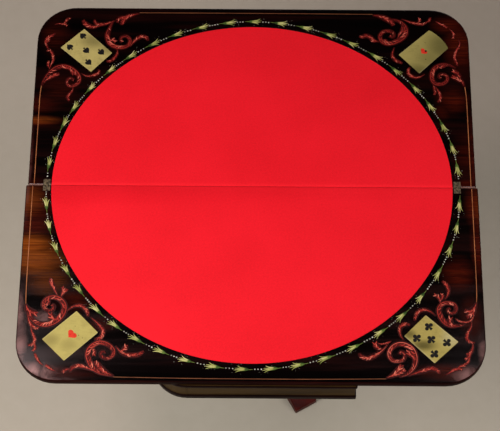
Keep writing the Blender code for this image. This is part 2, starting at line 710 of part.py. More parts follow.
def build():
    """The whole table."""
    make_rails()
    make_mouldings()
    pivot_rail = make_inside()
    make_glue_blocks()
    column = make_column()
    legs = make_legs()
    make_spider(column, legs)
    lower_leaf, lower_pieces = make_leaf("lower", half_length, LOWER_CLOTH_MARGIN, -1)
    lower_pieces += make_pivot(lower_leaf, pivot_rail)
    lower_pieces.append(make_stop_block())
    links = [make_link("left_hinge_link", -hinge_x), make_link("right_hinge_link", hinge_x)]
    upper_pieces = make_leaf("upper", upper_half_length, UPPER_CLOTH_MARGIN, 1)[1]
    carry("top_turn_axis", (pivot.x, pivot.y, leaf_bottom), lower_pieces)
    carry("link_turn_axis", (0, seam_y - pin_offset, pin_height), links)
    carry("leaf_fold_axis", (0, seam_y + pin_offset, pin_height), upper_pieces)


build()
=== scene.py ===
"""Looks of the swivel-top card table: woods, cloth, metal and the painted ornament of the top.

Units are metres. X runs along the seam, Y from the near edge to the far edge and Z up.
"""
import math
import random

import bmesh
import bpy
from mathutils import Matrix, Vector


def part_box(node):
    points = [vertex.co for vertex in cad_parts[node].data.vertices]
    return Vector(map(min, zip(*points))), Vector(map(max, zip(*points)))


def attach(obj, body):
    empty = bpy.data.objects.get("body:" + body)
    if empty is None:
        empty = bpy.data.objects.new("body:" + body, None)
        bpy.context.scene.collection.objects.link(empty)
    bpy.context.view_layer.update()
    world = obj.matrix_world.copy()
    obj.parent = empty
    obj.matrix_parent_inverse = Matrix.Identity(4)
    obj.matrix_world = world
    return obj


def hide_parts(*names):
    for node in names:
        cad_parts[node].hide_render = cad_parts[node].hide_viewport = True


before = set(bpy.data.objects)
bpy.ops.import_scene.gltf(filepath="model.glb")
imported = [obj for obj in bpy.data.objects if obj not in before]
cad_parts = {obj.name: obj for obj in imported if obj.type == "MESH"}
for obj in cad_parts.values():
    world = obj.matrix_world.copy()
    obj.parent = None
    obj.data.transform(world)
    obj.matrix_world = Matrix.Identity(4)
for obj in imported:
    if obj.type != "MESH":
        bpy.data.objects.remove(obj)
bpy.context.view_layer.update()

random.seed(11)
MM = 0.001

# Places read from the frame
LOWER_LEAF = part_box("lower_leaf")
UPPER_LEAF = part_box("upper_leaf")
LOWER_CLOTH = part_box("lower_baize")
UPPER_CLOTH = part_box("upper_baize")
FACE = LOWER_LEAF[1].z
SEAM_Y = (LOWER_LEAF[1].y + UPPER_LEAF[0].y) / 2
CLOTH_HALF_WIDTH = UPPER_CLOTH[1].x
CLOTH_FACE = UPPER_CLOTH[1].z
SIDES = {"lower": -1, "upper": 1}
CLOTH_DEPTH = {"lower": SEAM_Y - LOWER_CLOTH[0].y, "upper": UPPER_CLOTH[1].y - SEAM_Y}
MEASURED_SEAM = 3.75    # where the seam lies in the measured millimetres of the ornament


def measured(x, y):
    """A place on the playing face, from the millimetres measured on it."""
    return Vector((x * MM, SEAM_Y + (y - MEASURED_SEAM) * MM))


# Shader building
class Nodes:
    """A node tree, with short ways to add nodes and to join them."""

    def __init__(self, tree):
        self.tree = tree

    def node(self, kind, inputs=(), **settings):
        node = self.tree.nodes.new("ShaderNode" + kind)
        for word, value in settings.items():
            setattr(node, word, value)
        for socket, value in dict(inputs).items():
            self.put(node.inputs[socket], value)
        return node

    def put(self, socket, value):
        if isinstance(value, bpy.types.NodeSocket):
            self.tree.links.new(value, socket)
        else:
            socket.default_value = value


class Shader(Nodes):
    """A Principled material under construction."""

    def __init__(self, name, roughness, specular=0.5, **constants):
        self.material = bpy.data.materials.new(name)
        self.material.use_nodes = True
        super().__init__(self.material.node_tree)
        self.main = self.tree.nodes["Principled BSDF"]
        constants.update(Roughness=roughness, Specular_IOR_Level=specular)
        for word, value in constants.items():
            self.main.inputs[word.replace("_", " ")].default_value = value
        self.places = self.node("TexCoord").outputs

    def noise(self, scale, detail=3, roughness=0.55, distortion=0.0, turn=0.0, source=None):
        """Noise over the object or over a source. Its scale is one number, or one per axis."""
        scales = scale if isinstance(scale, tuple) else (scale, scale, scale)
        places = {"Vector": source or self.places["Object"], "Scale": scales, "Rotation": (0, 0, turn)}
        inputs = {"Vector": self.node("Mapping", places).outputs[0], "Scale": 1.0}
        inputs.update(Detail=detail, Roughness=roughness, Distortion=distortion)
        return self.node("TexNoise", inputs).outputs[0]

    def ramp(self, value, stops):
        node = self.node("ValToRGB", {0: value})
        elements = node.color_ramp.elements
        while len(elements) < len(stops):
            elements.new(0.5)
        for element, (place, colour) in zip(elements, stops):
            element.position = place
            element.color = (*colour, 1.0)
        return node.outputs[0]

    def mix(self, share, first, second):
        node = self.node("Mix", data_type="RGBA")
        for socket, value in ((0, share), (6, first), (7, second)):
            if isinstance(value, tuple):
                value = (*value, 1.0)
            self.put(node.inputs[socket], value)
        return node.outputs[2]

    def math(self, operation, *values):
        return self.node("Math", dict(enumerate(values)), operation=operation).outputs[0]

    def times(self, first, second):
        return self.math("MULTIPLY", first, second)

    def total(self, *parts):
        """Sum of values, each times its share."""
        whole = 0.0
        for value, share in parts:
            whole = self.math("MULTIPLY_ADD", value, share, whole)
        return whole

    def away(self, value, middle=0.0):
        """How far a value lies from a middle."""
        return self.math("ABSOLUTE", self.math("SUBTRACT", value, middle))

    def between(self, value, low, high, start=0.0, end=1.0):
        """A smooth step of the value from low to high."""
        inputs = {0: value, 1: low, 2: high, 3: start, 4: end}
        return self.node("MapRange", inputs, interpolation_type="SMOOTHSTEP").outputs[0]

    def attribute(self, name):
        return self.node("Attribute", attribute_name=name).outputs["Fac"]

    def coordinate(self, axis, kind="Object"):
        return self.node("SeparateXYZ", {0: self.places[kind]}).outputs[axis]

    def spot(self, x, y, wide, deep):
        """1 in the middle of an oval on the playing face, 0 outside it, from measured millimetres."""
        middle = measured(x, y)
        scale = Vector((1 / (wide * MM), 1 / (deep * MM), 0))
        shift = (-middle.x * scale.x, -middle.y * scale.y, 0)
        places = {"Vector": self.places["Object"], "Scale": scale, "Location": shift}
        moved = self.node("Mapping", places).outputs[0]
        distance = self.node("VectorMath", {0: moved}, operation="LENGTH").outputs["Value"]
        return self.between(distance, 1.0, 0.1)

    def strongest(self, spots):
        """The strongest of several spots at each place."""
        best = 0.0
        for *oval, strength in spots:
            best = self.math("MAXIMUM", best, self.times(self.spot(*oval), strength))
        return best

    def finish(self, colour, height=None, depth=0.00003, strength=0.3, roughness=None):
        """The material, with a bump of that height pattern and a roughness that varies, if given."""
        self.put(self.main.inputs["Base Color"], colour)
        if roughness is not None:
            self.put(self.main.inputs["Roughness"], roughness)
        if height is not None:
            bump = self.node("Bump", {"Height": height, "Distance": depth, "Strength": strength})
            self.put(self.main.inputs["Normal"], bump.outputs[0])
        return self.material


def darker(colour, share):
    """That share of a colour's light."""
    return tuple(share * part for part in colour)


# Polish of the top: stops of its dark grain and of the rust and gold in it, and colours that lie over it,
# among them a painted sheen of reflected light
TOP_GRAIN = (
    (0.36, (0.0004, 0.0001, 0.0001)), (0.5, (0.0014, 0.0002, 0.0002)),
    (0.62, (0.007, 0.0006, 0.0004)), (0.78, (0.022, 0.0022, 0.001)))
RUST = ((0.35, (0.04, 0.0025, 0.0012)), (0.6, (0.085, 0.008, 0.0022)), (0.8, (0.13, 0.018, 0.004)))
GOLD = ((0.35, (0.12, 0.021, 0.0026)), (0.6, (0.23, 0.054, 0.0062)), (0.8, (0.31, 0.088, 0.012)))
PAINTED_SHEEN = (0.31, 0.155, 0.145)
DARK_THREAD = (0.001, 0.0003, 0.0003)
# Along the seam the wood shows wear and is also painted lighter, a painted highlight of its eased edges;
# within the cloth's width it takes the cloth's red
SEAM_WEAR_AND_HIGHLIGHT = (0.17, 0.075, 0.055)
WORN_CLOTH = (0.66, 0.01, 0.018)
# Painted highlight of the rounded edges of the leaves
ROUNDING_HIGHLIGHT = (0.15, 0.045, 0.022)
SEAM_MARK_STARTS = 0.0026    # distance from the seam, and where the wear and the painted highlight are full
SEAM_MARK_FULL = 0.0008
# Ovals where they show: middle in measured millimetres, half width, half depth, strength
TOP_RUST = (
    (-440, -60, 60, 110, 0.55), (-440, 188, 62, 26, 0.4), (-445, 149, 66, 18, 0.7),
    (-454, 60, 14, 140, 0.5), (412, 205, 44, 44, 0.7), (390, 180, 26, 26, 0.4),
    (440, 80, 46, 70, 0.36), (450, -38, 30, 62, 1.0), (450, -125, 20, 100, 0.75),
    (408, -185, 44, 46, 0.75), (436, 12, 34, 14, 0.7), (452, 60, 16, 180, 0.6),
    (-345, -250, 55, 30, 0.5), (378, -392, 90, 22, 0.6), (-290, -300, 35, 20, 0.5),
    (432, 330, 44, 90, 0.7), (410, 385, 48, 30, 0.6), (-350, -395, 90, 22, 0.4),
    (-415, 350, 40, 60, 0.35), (-400, 225, 50, 40, 0.25), (430, -280, 30, 60, 0.5))
TOP_GOLD = (
    (-440, -130, 60, 34, 1.0), (-425, -162, 75, 46, 0.85), (-400, -205, 55, 44, 0.35),
    (-448, -30, 44, 46, 0.45), (-442, 152, 66, 13, 0.5), (455, -40, 14, 60, 0.2))
# Painted sheen: ovals of reflected light painted onto the polish at the two near corners and along the left
# edge
TOP_PAINTED_SHEEN = (
    (-420, -400, 62, 30, 0.92), (-448, -345, 20, 70, 0.62), (-380, -415, 60, 14, 0.55),
    (-452, -270, 14, 60, 0.5), (-405, -285, 34, 22, 0.3), (420, -400, 44, 26, 0.58),
    (448, -350, 12, 60, 0.4), (-452, 30, 8, 150, 0.12))


def rosewood_top():
    """Dark grained polish of the playing face, with a painted sheen near its corners, painted highlights on
    its rounded edges, and wear with a painted highlight along the seam.
    """
    s = Shader("painted_rosewood", 0.2)
    broad = s.noise((1.6, 26, 26), 4, 0.6, 0.6)
    fine = s.noise((9, 420, 420), 5, 0.65)
    thread = s.noise((24, 1500, 1500), 3, 0.6)
    streaks = s.noise((9, 75, 75), 5, 0.62, 0.9)
    rusty = s.times(s.strongest(TOP_RUST), s.between(streaks, 0.3, 0.62, 0.3))
    golden = s.times(s.strongest(TOP_GOLD), s.between(streaks, 0.3, 0.62, 0.55))
    # Painted sheen: reflected light painted over the grain in cloudy ovals
    painted_sheen = s.times(s.strongest(TOP_PAINTED_SHEEN), s.between(s.noise(22, 4, 0.6, 1.2), 0.34, 0.62, 0.15))
    colour = s.ramp(s.total((broad, 0.8), (fine, 0.2)), TOP_GRAIN)
    colour = s.mix(rusty, colour, s.ramp(fine, RUST))
    colour = s.mix(golden, colour, s.ramp(fine, GOLD))
    colour = s.mix(painted_sheen, colour, PAINTED_SHEEN)
    colour = s.mix(s.between(thread, 0.62, 0.74, 0.0, 0.5), colour, DARK_THREAD)
    # Wear and a painted highlight along the eased edges of the seam
    at_seam = s.between(s.away(s.coordinate(1), SEAM_Y), SEAM_MARK_STARTS, SEAM_MARK_FULL)
    seam_breakup = s.between(s.noise((60, 300, 300)), 0.3, 0.62, 0.25)
    in_cloth = s.between(s.away(s.coordinate(0)), CLOTH_HALF_WIDTH + MM, CLOTH_HALF_WIDTH)
    seam_colour = s.mix(in_cloth, SEAM_WEAR_AND_HIGHLIGHT, WORN_CLOTH)
    colour = s.mix(s.times(at_seam, s.math("MAXIMUM", seam_breakup, in_cloth)), colour, seam_colour)
    up = s.coordinate(2, "Normal")
    # Painted highlight: the rounded edges between the face and the sides are painted lighter, broken up by
    # the streaks
    rounding = s.times(s.between(up, 0.98, 0.8), s.between(up, 0.25, 0.55))
    colour = s.mix(s.times(rounding, s.between(streaks, 0.4, 0.7, 0.0, 0.12)), colour, ROUNDING_HIGHLIGHT)
    roughness = s.total((s.between(broad, 0.3, 0.7, 0.1, 0.18), 1), (s.between(up, 0.985, 0.85), 0.5))
    return s.finish(colour, fine, 0.00002, 0.12, roughness)


# Woods: three tones from dark to light, and roughness
VENEER = (((0.018, 0.0085, 0.0018), (0.041, 0.0215, 0.0052), (0.066, 0.037, 0.011)), 0.45)
EBONISED = (((0.0015, 0.0005, 0.0004), (0.006, 0.0012, 0.0008), (0.014, 0.003, 0.002)), 0.45)
MAHOGANY = (((0.028, 0.0013, 0.0008), (0.07, 0.004, 0.0018), (0.125, 0.011, 0.0045)), 0.36)
INSIDE = (((0.26, 0.15, 0.07), (0.42, 0.28, 0.15), (0.56, 0.41, 0.25)), 0.62)
# Painted shade: tones of the dark dull skin on the side faces of the leaves, which stand in shade
SHADED_EDGE_TONES = (((0.003, 0.0003, 0.0002), (0.012, 0.0009, 0.0006), (0.03, 0.003, 0.0015)), 0.5)
TONE_STOPS = (0.34, 0.52, 0.7)


def wood(name, tones, roughness, along, specular):
    """A grained wood. The grain runs along the axis with that number."""
    s = Shader(name, roughness, specular)

    def grain(lengthwise, across, *settings):
        return s.noise(tuple(lengthwise if axis == along else across for axis in range(3)), *settings)

    fine = grain(14, 520, 5, 0.65)
    colour = s.ramp(s.total((grain(2.5, 34, 4, 0.6, 0.7), 0.7), (fine, 0.3)), tuple(zip(TONE_STOPS, tones)))
    pores = s.between(grain(60, 1900, 2, 0.5), 0.6, 0.72, 0.0, 0.55)
    colour = s.mix(pores, colour, darker(tones[0], 0.35))
    rough = s.between(fine, 0.3, 0.7, roughness - 0.05, roughness + 0.08)
    return s.finish(colour, fine, 0.00003, 0.15, rough)


BAIZE = ((0.36, (0.64, 0.0025, 0.009)), (0.5, (0.78, 0.0045, 0.014)), (0.64, (0.88, 0.008, 0.021)))
BAIZE_SHEEN = {"Sheen_Weight": 0.05, "Sheen_Roughness": 0.5, "Sheen_Tint": (1.0, 0.35, 0.35, 1.0)}


def baize_cloth():
    """Red woollen cloth with a short nap."""
    s = Shader("red_baize", 0.6, 0.16, **BAIZE_SHEEN)
    nap = s.noise(1500, 4, 0.7)
    tone = s.total((nap, 0.55), (s.noise(260, 4, 0.6), 0.25), (s.noise(7, 3, 0.5), 0.2))
    return s.finish(s.ramp(tone, BAIZE), nap, 0.00025, 0.5)


# Metals: clean and tarnished colour, roughness, metallic share
BRASS = ((0.165, 0.125, 0.068), (0.038, 0.027, 0.015), 0.52, 0.5)
IRON = ((0.12, 0.115, 0.11), (0.055, 0.038, 0.03), 0.5, 0.8)


def aged_metal(name, clean, tarnish, roughness, metallic):
    """Old metal with tarnish in patches and fine scratches."""
    s = Shader(name, roughness, Metallic=metallic)
    patches = s.noise(240, 5, 0.6)
    scratches = s.noise((300, 2400, 300), 2, turn=0.4)
    colour = s.mix(s.between(patches, 0.4, 0.62), clean, tarnish)
    colour = s.mix(s.between(scratches, 0.6, 0.75, 0.0, 0.3), colour, darker(clean, 0.5))
    rough = s.between(patches, 0.3, 0.7, roughness - 0.1, roughness + 0.15)
    return s.finish(colour, scratches, 0.00003, 0.4, rough)


# What each point of a stroke knows: its place along and across the stroke, and the stroke's tint
MARKS = ("along", "across", "tint")
# Paints that are laid in strokes, as stops of their tone
HUSK_GREEN = (
    (0.1, (0.01, 0.02, 0.005)), (0.3, (0.035, 0.075, 0.014)), (0.5, (0.13, 0.18, 0.035)),
    (0.7, (0.36, 0.36, 0.1)), (0.92, (0.7, 0.66, 0.32)))
SCROLL_SHADOW = ((0.12, (0.014, 0.001, 0.001)), (0.34, (0.062, 0.004, 0.0035)))
SCROLL_REDS = {
    "lower": (
        "scroll_red_near",
        (0.5, (0.21, 0.014, 0.011)), (0.7, (0.5, 0.05, 0.032)), (0.9, (0.88, 0.33, 0.22))),
    "upper": (
        "scroll_red_far",
        (0.5, (0.17, 0.011, 0.009)), (0.7, (0.41, 0.036, 0.024)), (0.9, (0.8, 0.27, 0.18))),
}
# Other paints: two near tones each, with a dull one first for the line
BEAD_WHITES = ((0.12, 0.13, 0.09), (0.62, 0.62, 0.54))
LINE_ORANGES = ((0.03, 0.009, 0.005), (0.26, 0.08, 0.026), (0.4, 0.14, 0.048))
GLAZE_REDS = ((0.016, 0.0008, 0.0006), (0.034, 0.0016, 0.0012))
PIP_BLACKS = ((0.002, 0.002, 0.0015), (0.006, 0.005, 0.004))
PIP_REDS = ((0.52, 0.018, 0.008), (0.64, 0.04, 0.016))
# Paints of the cards: name, light, shade, rubbed colour, ovals of shade and ovals of the rubbed colour
CARD_PAINTS = {
    "upper_left_card": (
        "card_one", (0.42, 0.35, 0.115), (0.05, 0.043, 0.01), (0.46, 0.4, 0.2),
        ((-333, 341.8, 46, 28, 0.55), (-303, 321.8, 26, 22, 0.45))),
    "upper_right_card": (
        "card_two", (0.31, 0.265, 0.08), (0.06, 0.056, 0.013), (0.34, 0.31, 0.17),
        ((398, 333, 60, 62, 0.75), (346, 272, 50, 34, 0.7), (375, 303.8, 62, 50, 0.5))),
    "lower_left_card": (
        "card_three", (0.43, 0.36, 0.105), (0.22, 0.18, 0.05), (0.58, 0.5, 0.2),
        ((-388, -331.3, 28, 22, 0.7), (-352, -341.3, 30, 20, 0.5))),
    "lower_right_card": (
        "card_four", (0.36, 0.29, 0.078), (0.085, 0.068, 0.014), (0.46, 0.41, 0.2),
        ((334, -337.3, 38, 17, 0.95), (308, -314.3, 20, 16, 0.8)), ((390, -321.3, 30, 30, 0.8),)),
}


def brush_paint(name, stops):
    """Oil paint laid in strokes: tone from the place in a stroke, its tint and the brush marks."""
    s = Shader(name, 0.42, 0.1)
    along, across, tint = [s.attribute(mark) for mark in MARKS]
    in_stroke = s.node("CombineXYZ", {0: along, 1: across, 2: tint}).outputs[0]
    brushed = s.noise((8, 4.16, 65.6), 3, 0.6, source=in_stroke)
    lit = s.between(s.away(across, 0.22), 1.05, 0.05)
    tone = s.total((lit, 0.18), (s.between(brushed, 0.32, 0.68), 0.16), (along, 0.06), (tint, 0.6))
    return s.finish(s.ramp(tone, stops), s.noise(900), 0.00002, 0.12)


def dab_paint(name, dim, bright):
    """Small dabs, each with a brightness of its own."""
    s = Shader(name, 0.5, 0.2)
    mottled = s.noise(900)
    tone = s.times(s.attribute("tint"), s.between(mottled, 0.3, 0.7, 0.6))
    return s.finish(s.mix(tone, dim, bright), mottled)


def line_paint(name, dull, dim, bright):
    """Paint of the long line, duller beside the long edges of the top."""
    s = Shader(name, 0.42, 0.25)
    tone = s.noise(40, 4, 0.6)
    dulled = s.between(s.away(s.coordinate(1)), 0.3, 0.4, 0.0, 0.62)
    return s.finish(s.mix(dulled, s.mix(s.between(tone, 0.35, 0.65), dim, bright), dull), tone)


def plain_paint(name, first, second, scale, roughness):
    """A small area of paint in two near tones."""
    s = Shader(name, roughness, 0.2)
    tone = s.noise(scale, 4, 0.6)
    return s.finish(s.mix(s.between(tone, 0.35, 0.65), first, second), tone)


def card_paint(name, light, shade, pale, shades, pales=()):
    """A painted playing card, with soft shades across it as if it were curled."""
    s = Shader(name, 0.5, 0.15)
    mottled = s.between(s.noise(70, 4, 0.6), 0.45, 0.75, 0.0, 0.3)
    fine = s.noise(520, 3, 0.6)
    brushed = s.noise((60, 420, 1), 4, 0.6, turn=-0.78)
    colour = s.mix(s.math("MAXIMUM", mottled, s.strongest(shades)), light, shade)
    colour = s.mix(s.strongest(pales), colour, pale)
    colour = s.mix(s.between(s.away(s.attribute("across")), 0.92, 0.99, 0.0, 0.4), colour, pale)
    colour = s.mix(s.between(fine, 0.56, 0.72, 0.0, 0.25), colour, shade)
    colour = s.mix(s.between(brushed, 0.45, 0.75, 0.0, 0.3), colour, darker(light, 0.62))
    return s.finish(colour, fine, 0.00004)


# Geometry building
def smooth(points, steps=8):
    """A smooth line through the points, which keeps its two ends."""
    padded = [points[0], *points, points[-1]]
    line = []
    for before, start, end, after in zip(padded, padded[1:], padded[2:], padded[3:]):
        for step in range(steps):
            t = step / steps
            curve = 2 * start + (end - before) * t + (2 * before - 5 * start + 4 * end - after) * t ** 2
            line.append((curve + (3 * start - before - 3 * end + after) * t ** 3) / 2)
    return [*line, points[-1]]


def spaced(points, gap):
    """The same line with points about a gap apart, ends kept."""
    lengths = [(b - a).length for a, b in zip(points, points[1:])]
    total = sum(lengths)
    count = max(3, round(total / gap))
    line = []
    index = 0
    gone = 0.0
    for step in range(count + 1):
        aim = total * step / count
        while index < len(lengths) - 1 and gone + lengths[index] < aim:
            gone += lengths[index]
            index += 1
        share = (aim - gone) / max(lengths[index], 1e-9)
        line.append(points[index].lerp(points[index + 1], min(share, 1.0)))
    return line


def heading(line, index):
    """Direction of a line at one of its points."""
    return (line[min(index + 1, len(line) - 1)] - line[max(index - 1, 0)]).normalized()


def crosswise(direction):
    """The direction a quarter turn to the left."""
    return Vector((-direction.y, direction.x))


DISC_TURN = 340         # degrees from the first to the last point of a disc
SHARP_ANGLE = math.radians(35)


def disc(centre, radius, steps):
    """Points round a small disc."""
    turns = [math.radians(DISC_TURN * step / steps) for step in range(steps + 1)]
    return [centre + Vector((radius * math.cos(turn), radius * math.sin(turn))) for turn in turns]


def placed(name, data):
    """A new object in the scene."""
    thing = bpy.data.objects.new(name, data)
    bpy.context.scene.collection.objects.link(thing)
    return thing


def new_piece(name, shape, body, material):
    """A piece of the table that rides on a body, from a bmesh that isn't needed after."""
    mesh = bpy.data.meshes.new(name)
    shape.to_mesh(mesh)
    shape.free()
    mesh.materials.append(material)
    mesh.shade_smooth()
    mesh.set_sharp_from_angle(angle=SHARP_ANGLE)
    thing = placed(name, mesh)
    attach(thing, body)
    return thing


# How a stroke lies on the face
SUNK = 0.00004          # of a stroke's underside into the polish
RIDGE_SHARES = ((-1.0, 0.0), (-0.62, 0.72), (0.0, 1.0), (0.62, 0.72), (1.0, 0.0))
RING = len(RIDGE_SHARES) + 2
STROKE_SPACING = 0.0014
THINNEST = 0.00012      # half width


def share_at(shares, t):
    """Value at a place from 0 to 1 along evenly spaced shares."""
    where = t * (len(shares) - 1)
    low = min(int(where), len(shares) - 2)
    return shares[low] + (shares[low + 1] - shares[low]) * (where - low)


class Brush:
    """Gathers strokes and flat patches, thin closed shapes on the playing face, into one mesh."""

    def __init__(self, spacing=STROKE_SPACING):
        self.spacing = spacing
        self.places = []
        self.faces = []
        self.marks = []

    def point(self, place, height, *marks):
        self.places.append((place.x, place.y, FACE + height))
        self.marks.append(marks)

    def skin(self, first, count):
        """Faces round the rings of that many points from the first one on, and over both ends."""
        last = len(self.places) - count
        for base in range(first, last, count):
            for k in range(count):
                after = (k + 1) % count
                self.faces.append((base + k, base + after, base + count + after, base + count + k))
        self.faces.append(range(first + count - 1, first - 1, -1))
        self.faces.append(range(last, last + count))

    def stroke(self, points, width, profile, tint=0.5, spacing=None):
        """A ridge along a smooth line. Its profile gives widths at even steps, side height and ridge."""
        shares, level, ridge = profile
        line = spaced(smooth([Vector(p) for p in points]), spacing or self.spacing)
        first = len(self.places)
        for index, place in enumerate(line):
            t = index / (len(line) - 1)
            side = crosswise(heading(line, index)) * max(width / 2 * share_at(shares, t), THINNEST)
            self.point(place - side, -SUNK, t, -1.0, tint)
            for across, up in RIDGE_SHARES:
                self.point(place + side * across, level + ridge * up, t, across, tint)
            self.point(place + side, -SUNK, t, 1.0, tint)
        self.skin(first, RING)

    def patch(self, outline, low, high, across_at=None, tint=0.5):
        """A flat thin shape, which may mark how far across it each place lies."""
        first = len(self.places)
        for height in (low, high):
            for place in outline:
                self.point(place, height, 0.5, across_at(place) if across_at else 0.0, tint)
        self.skin(first, len(outline))

    def make(self, name, word, material):
        """One piece of paint on a leaf."""
        shape = bmesh.new()
        verts = [shape.verts.new(place) for place in self.places]
        for face in self.faces:
            shape.faces.new([verts[k] for k in face])
        bmesh.ops.recalc_face_normals(shape, faces=shape.faces)
        thing = new_piece(name, shape, word + "_top", material)
        for mark, values in zip(MARKS, zip(*self.marks)):
            thing.data.attributes.new(mark, "FLOAT", "POINT").data.foreach_set("value", values)


# The cloth of each leaf
CLOTH_STEPS = 180
CLOTH_UNDER = 0.0014    # of the cloth's underside below the playing face
PIN_OFFSET = 0.0028     # of a hinge pin from the seam, and its depth below the face
PIN_DEPTH = 0.0024
FOLD_RADIUS = 0.00262   # the cloth stays inside this radius about the pin, so that the leaves can fold
CLOTH_RINGS = (         # height below the face, distance inside the cloth's outline
    (CLOTH_UNDER, 0.0003), (0.001, 0.0003), (0.0007, 0.00032), (0.00045, 0.0004),
    (0.00028, 0.00055), (FACE - CLOTH_FACE, 0.0009),
)


def cloth_ring(depth, side, down, inset):
    """Half an ellipse at one height of the cloth, from its rounded edge beside the seam."""
    start = PIN_OFFSET - math.sqrt(FOLD_RADIUS ** 2 - (PIN_DEPTH - down) ** 2)
    half_width = CLOTH_HALF_WIDTH - inset
    half_depth = depth - inset
    first = math.asin(start / half_depth)
    ring = []
    for step in range(CLOTH_STEPS + 1):
        angle = first + (math.pi - 2 * first) * step / CLOTH_STEPS
        ring.append((half_width * math.cos(angle), SEAM_Y + side * half_depth * math.sin(angle), FACE - down))
    return ring


def make_cloth(word, material):
    """The baize of one leaf, a laid sheet whose seam edge follows the rounded edge of the wood."""
    depth = CLOTH_DEPTH[word]
    shape = bmesh.new()
    loops = []
    for down, inset in CLOTH_RINGS:
        loops.append([shape.verts.new(place) for place in cloth_ring(depth, SIDES[word], down, inset)])
    for lower, upper in zip(loops, loops[1:]):
        for k, vert in enumerate(lower):
            after = (k + 1) % len(lower)
            shape.faces.new((vert, lower[after], upper[after], upper[k]))
    shape.faces.new(list(reversed(loops[0])))
    shape.faces.new(loops[-1])
    bmesh.ops.recalc_face_normals(shape, faces=shape.faces)
    cloth = new_piece(word + "_cloth", shape, word + "_top", material)
    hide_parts(word + "_baize")


SHADED_EDGE_THICKNESS = 0.00025     # thickness of the dark dull skin on the edge of a leaf, painted shade
EDGE_SLOPE = 0.8        # upward part of the normals to which it reaches round the edge
SEAM_CLEAR = 0.002      # it keeps this far from the seam
SAME_PLACE = 0.00001


def make_shaded_edge(word, material):
    """A dark dull skin over the outer side faces of one leaf and most of their rounding: painted shade for
    the shade those faces stand in.
    """
    shape = bmesh.new()
    shape.from_mesh(bpy.data.objects[word + "_leaf"].data)
    low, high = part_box(word + "_leaf")
    middle = (low + high) / 2
    for face in list(shape.faces):
        centre = face.calc_center_median()
        outside = face.normal.dot(centre - middle) > 0 and abs(face.normal.z) < EDGE_SLOPE
        if not outside or abs(centre.y - SEAM_Y) < SEAM_CLEAR:
            shape.faces.remove(face)
    loose = [vert for vert in shape.verts if not vert.link_faces]
    bmesh.ops.delete(shape, geom=loose, context="VERTS")
    bmesh.ops.remove_doubles(shape, verts=shape.verts, dist=SAME_PLACE)
    band = new_piece(word + "_edge_band", shape, word + "_top", material)
    thick = band.modifiers.new("thick", "SOLIDIFY")
    thick.thickness = SHADED_EDGE_THICKNESS
    thick.offset = 1.0


# The garland round the cloth: from the cloth's edge to the line of beads, in millimetres, every 15 degrees
# from +X, and the angle of each husk's outermost tip
BEAD_AWAY = (
    13.0, 14.5, 12.6, 11.7, 11.2, 12.0, 12.8, 11.2, 9.0, 8.3, 9.3, 10.7, 9.4,
    11.2, 10.8, 11.8, 11.4, 11.9, 11.6, 11.7, 12.3, 12.8, 14.2, 15.0, 13.0)
TIP_ANGLES = {
    "upper": (
        4.1, 11.3, 18.9, 26.8, 34.1, 42.3, 49.9, 58.2, 65.3, 72.6, 80.1, 87.6, 95.0, 103.1, 110.7, 118.2,
        126.0, 133.8, 142.1, 150.2, 156.4, 163.6, 170.6),
    "lower": (
        184.2, 191.4, 198.7, 206.4, 213.6, 221.4, 228.3, 235.5, 243.0, 250.3, 258.0, 265.7, 273.3, 280.6,
        288.2, 296.5, 304.9, 312.8, 320.5, 329.4, 337.6, 345.1, 352.4),
}
TIP_TO_MIDDLE = 2.1     # degrees from a husk's tip to its middle, and to the end of its stalk
TIP_TO_STALK = 5.0
BEAD_ENDS = {"upper": (2.6, 177.6), "lower": (182, 357.6)}
BEAD_STEP = 0.8         # degrees
BEAD_RADIUS = 0.0014
BEAD_SHIFT = 0.0003
DAB_HEIGHT = 0.00012
DAB_STEPS = 11
# Strokes of a husk: millimetres along the garland and outwards from its middle
HUSK_STALK = ((-20, 0), (-16, 0.2), (-11, 0))
HUSK_BODY = ((-12.8, 0), (-8.5, 0), (-2.5, 0), (4, 0.3))
HUSK_TIPS = (
    ((-5, 1.5), (3, 2.7), (8.8, 4.5), (13.5, 7.6)), ((-4, 0.5), (5, 1.1), (11.5, 1.7), (16.8, 2.8)),
    ((-4, -0.4), (4, -0.9), (10, -1.4), (14.2, -1.4)), ((-5.5, -1.5), (1, -2.6), (5.8, -4.2), (9.5, -7)))
HUSK_SPACING = 0.0013
STALK_TINT = 0.35
STALK_WIDTH = 0.0015
BODY_WIDTH = 0.0074
TIP_WIDTH = 0.0024
STALK_PROFILE = ((0.6, 0.8, 1.0), 0.00003, 0.00004)
BODY_PROFILE = ((0.22, 0.8, 1.0, 0.95, 0.6), 0.00004, 0.00006)
TIP_PROFILE = ((0.5, 1.0, 0.72, 0.15), 0.00007, 0.00006)
# Specks beside each husk: how many, where in the same millimetres, and metres kept from the seam
SPECKS = 6
SPECK_ALONG = (-4, 24)
SPECK_OUT = (5, 11)
SPECK_CLEAR = 0.016
SPECK_RADIUS = 0.0004


def garland_frame(word, degrees):
    """A place on the line of beads and its two directions: clockwise along the garland, and outwards."""
    angle = math.radians(degrees)
    wide, deep = CLOTH_HALF_WIDTH, CLOTH_DEPTH[word]
    onward = Vector((wide * math.sin(angle), -deep * math.cos(angle))).normalized()
    outward = crosswise(onward)
    edge = Vector((wide * math.cos(angle), SEAM_Y + deep * math.sin(angle)))
    return edge + outward * (share_at(BEAD_AWAY, degrees / 360) * MM), onward, outward


def dab(brush, middle, radius, tint):
    """A round dab of paint."""
    brush.patch(disc(middle, radius, DAB_STEPS), -SUNK, DAB_HEIGHT, tint=tint)


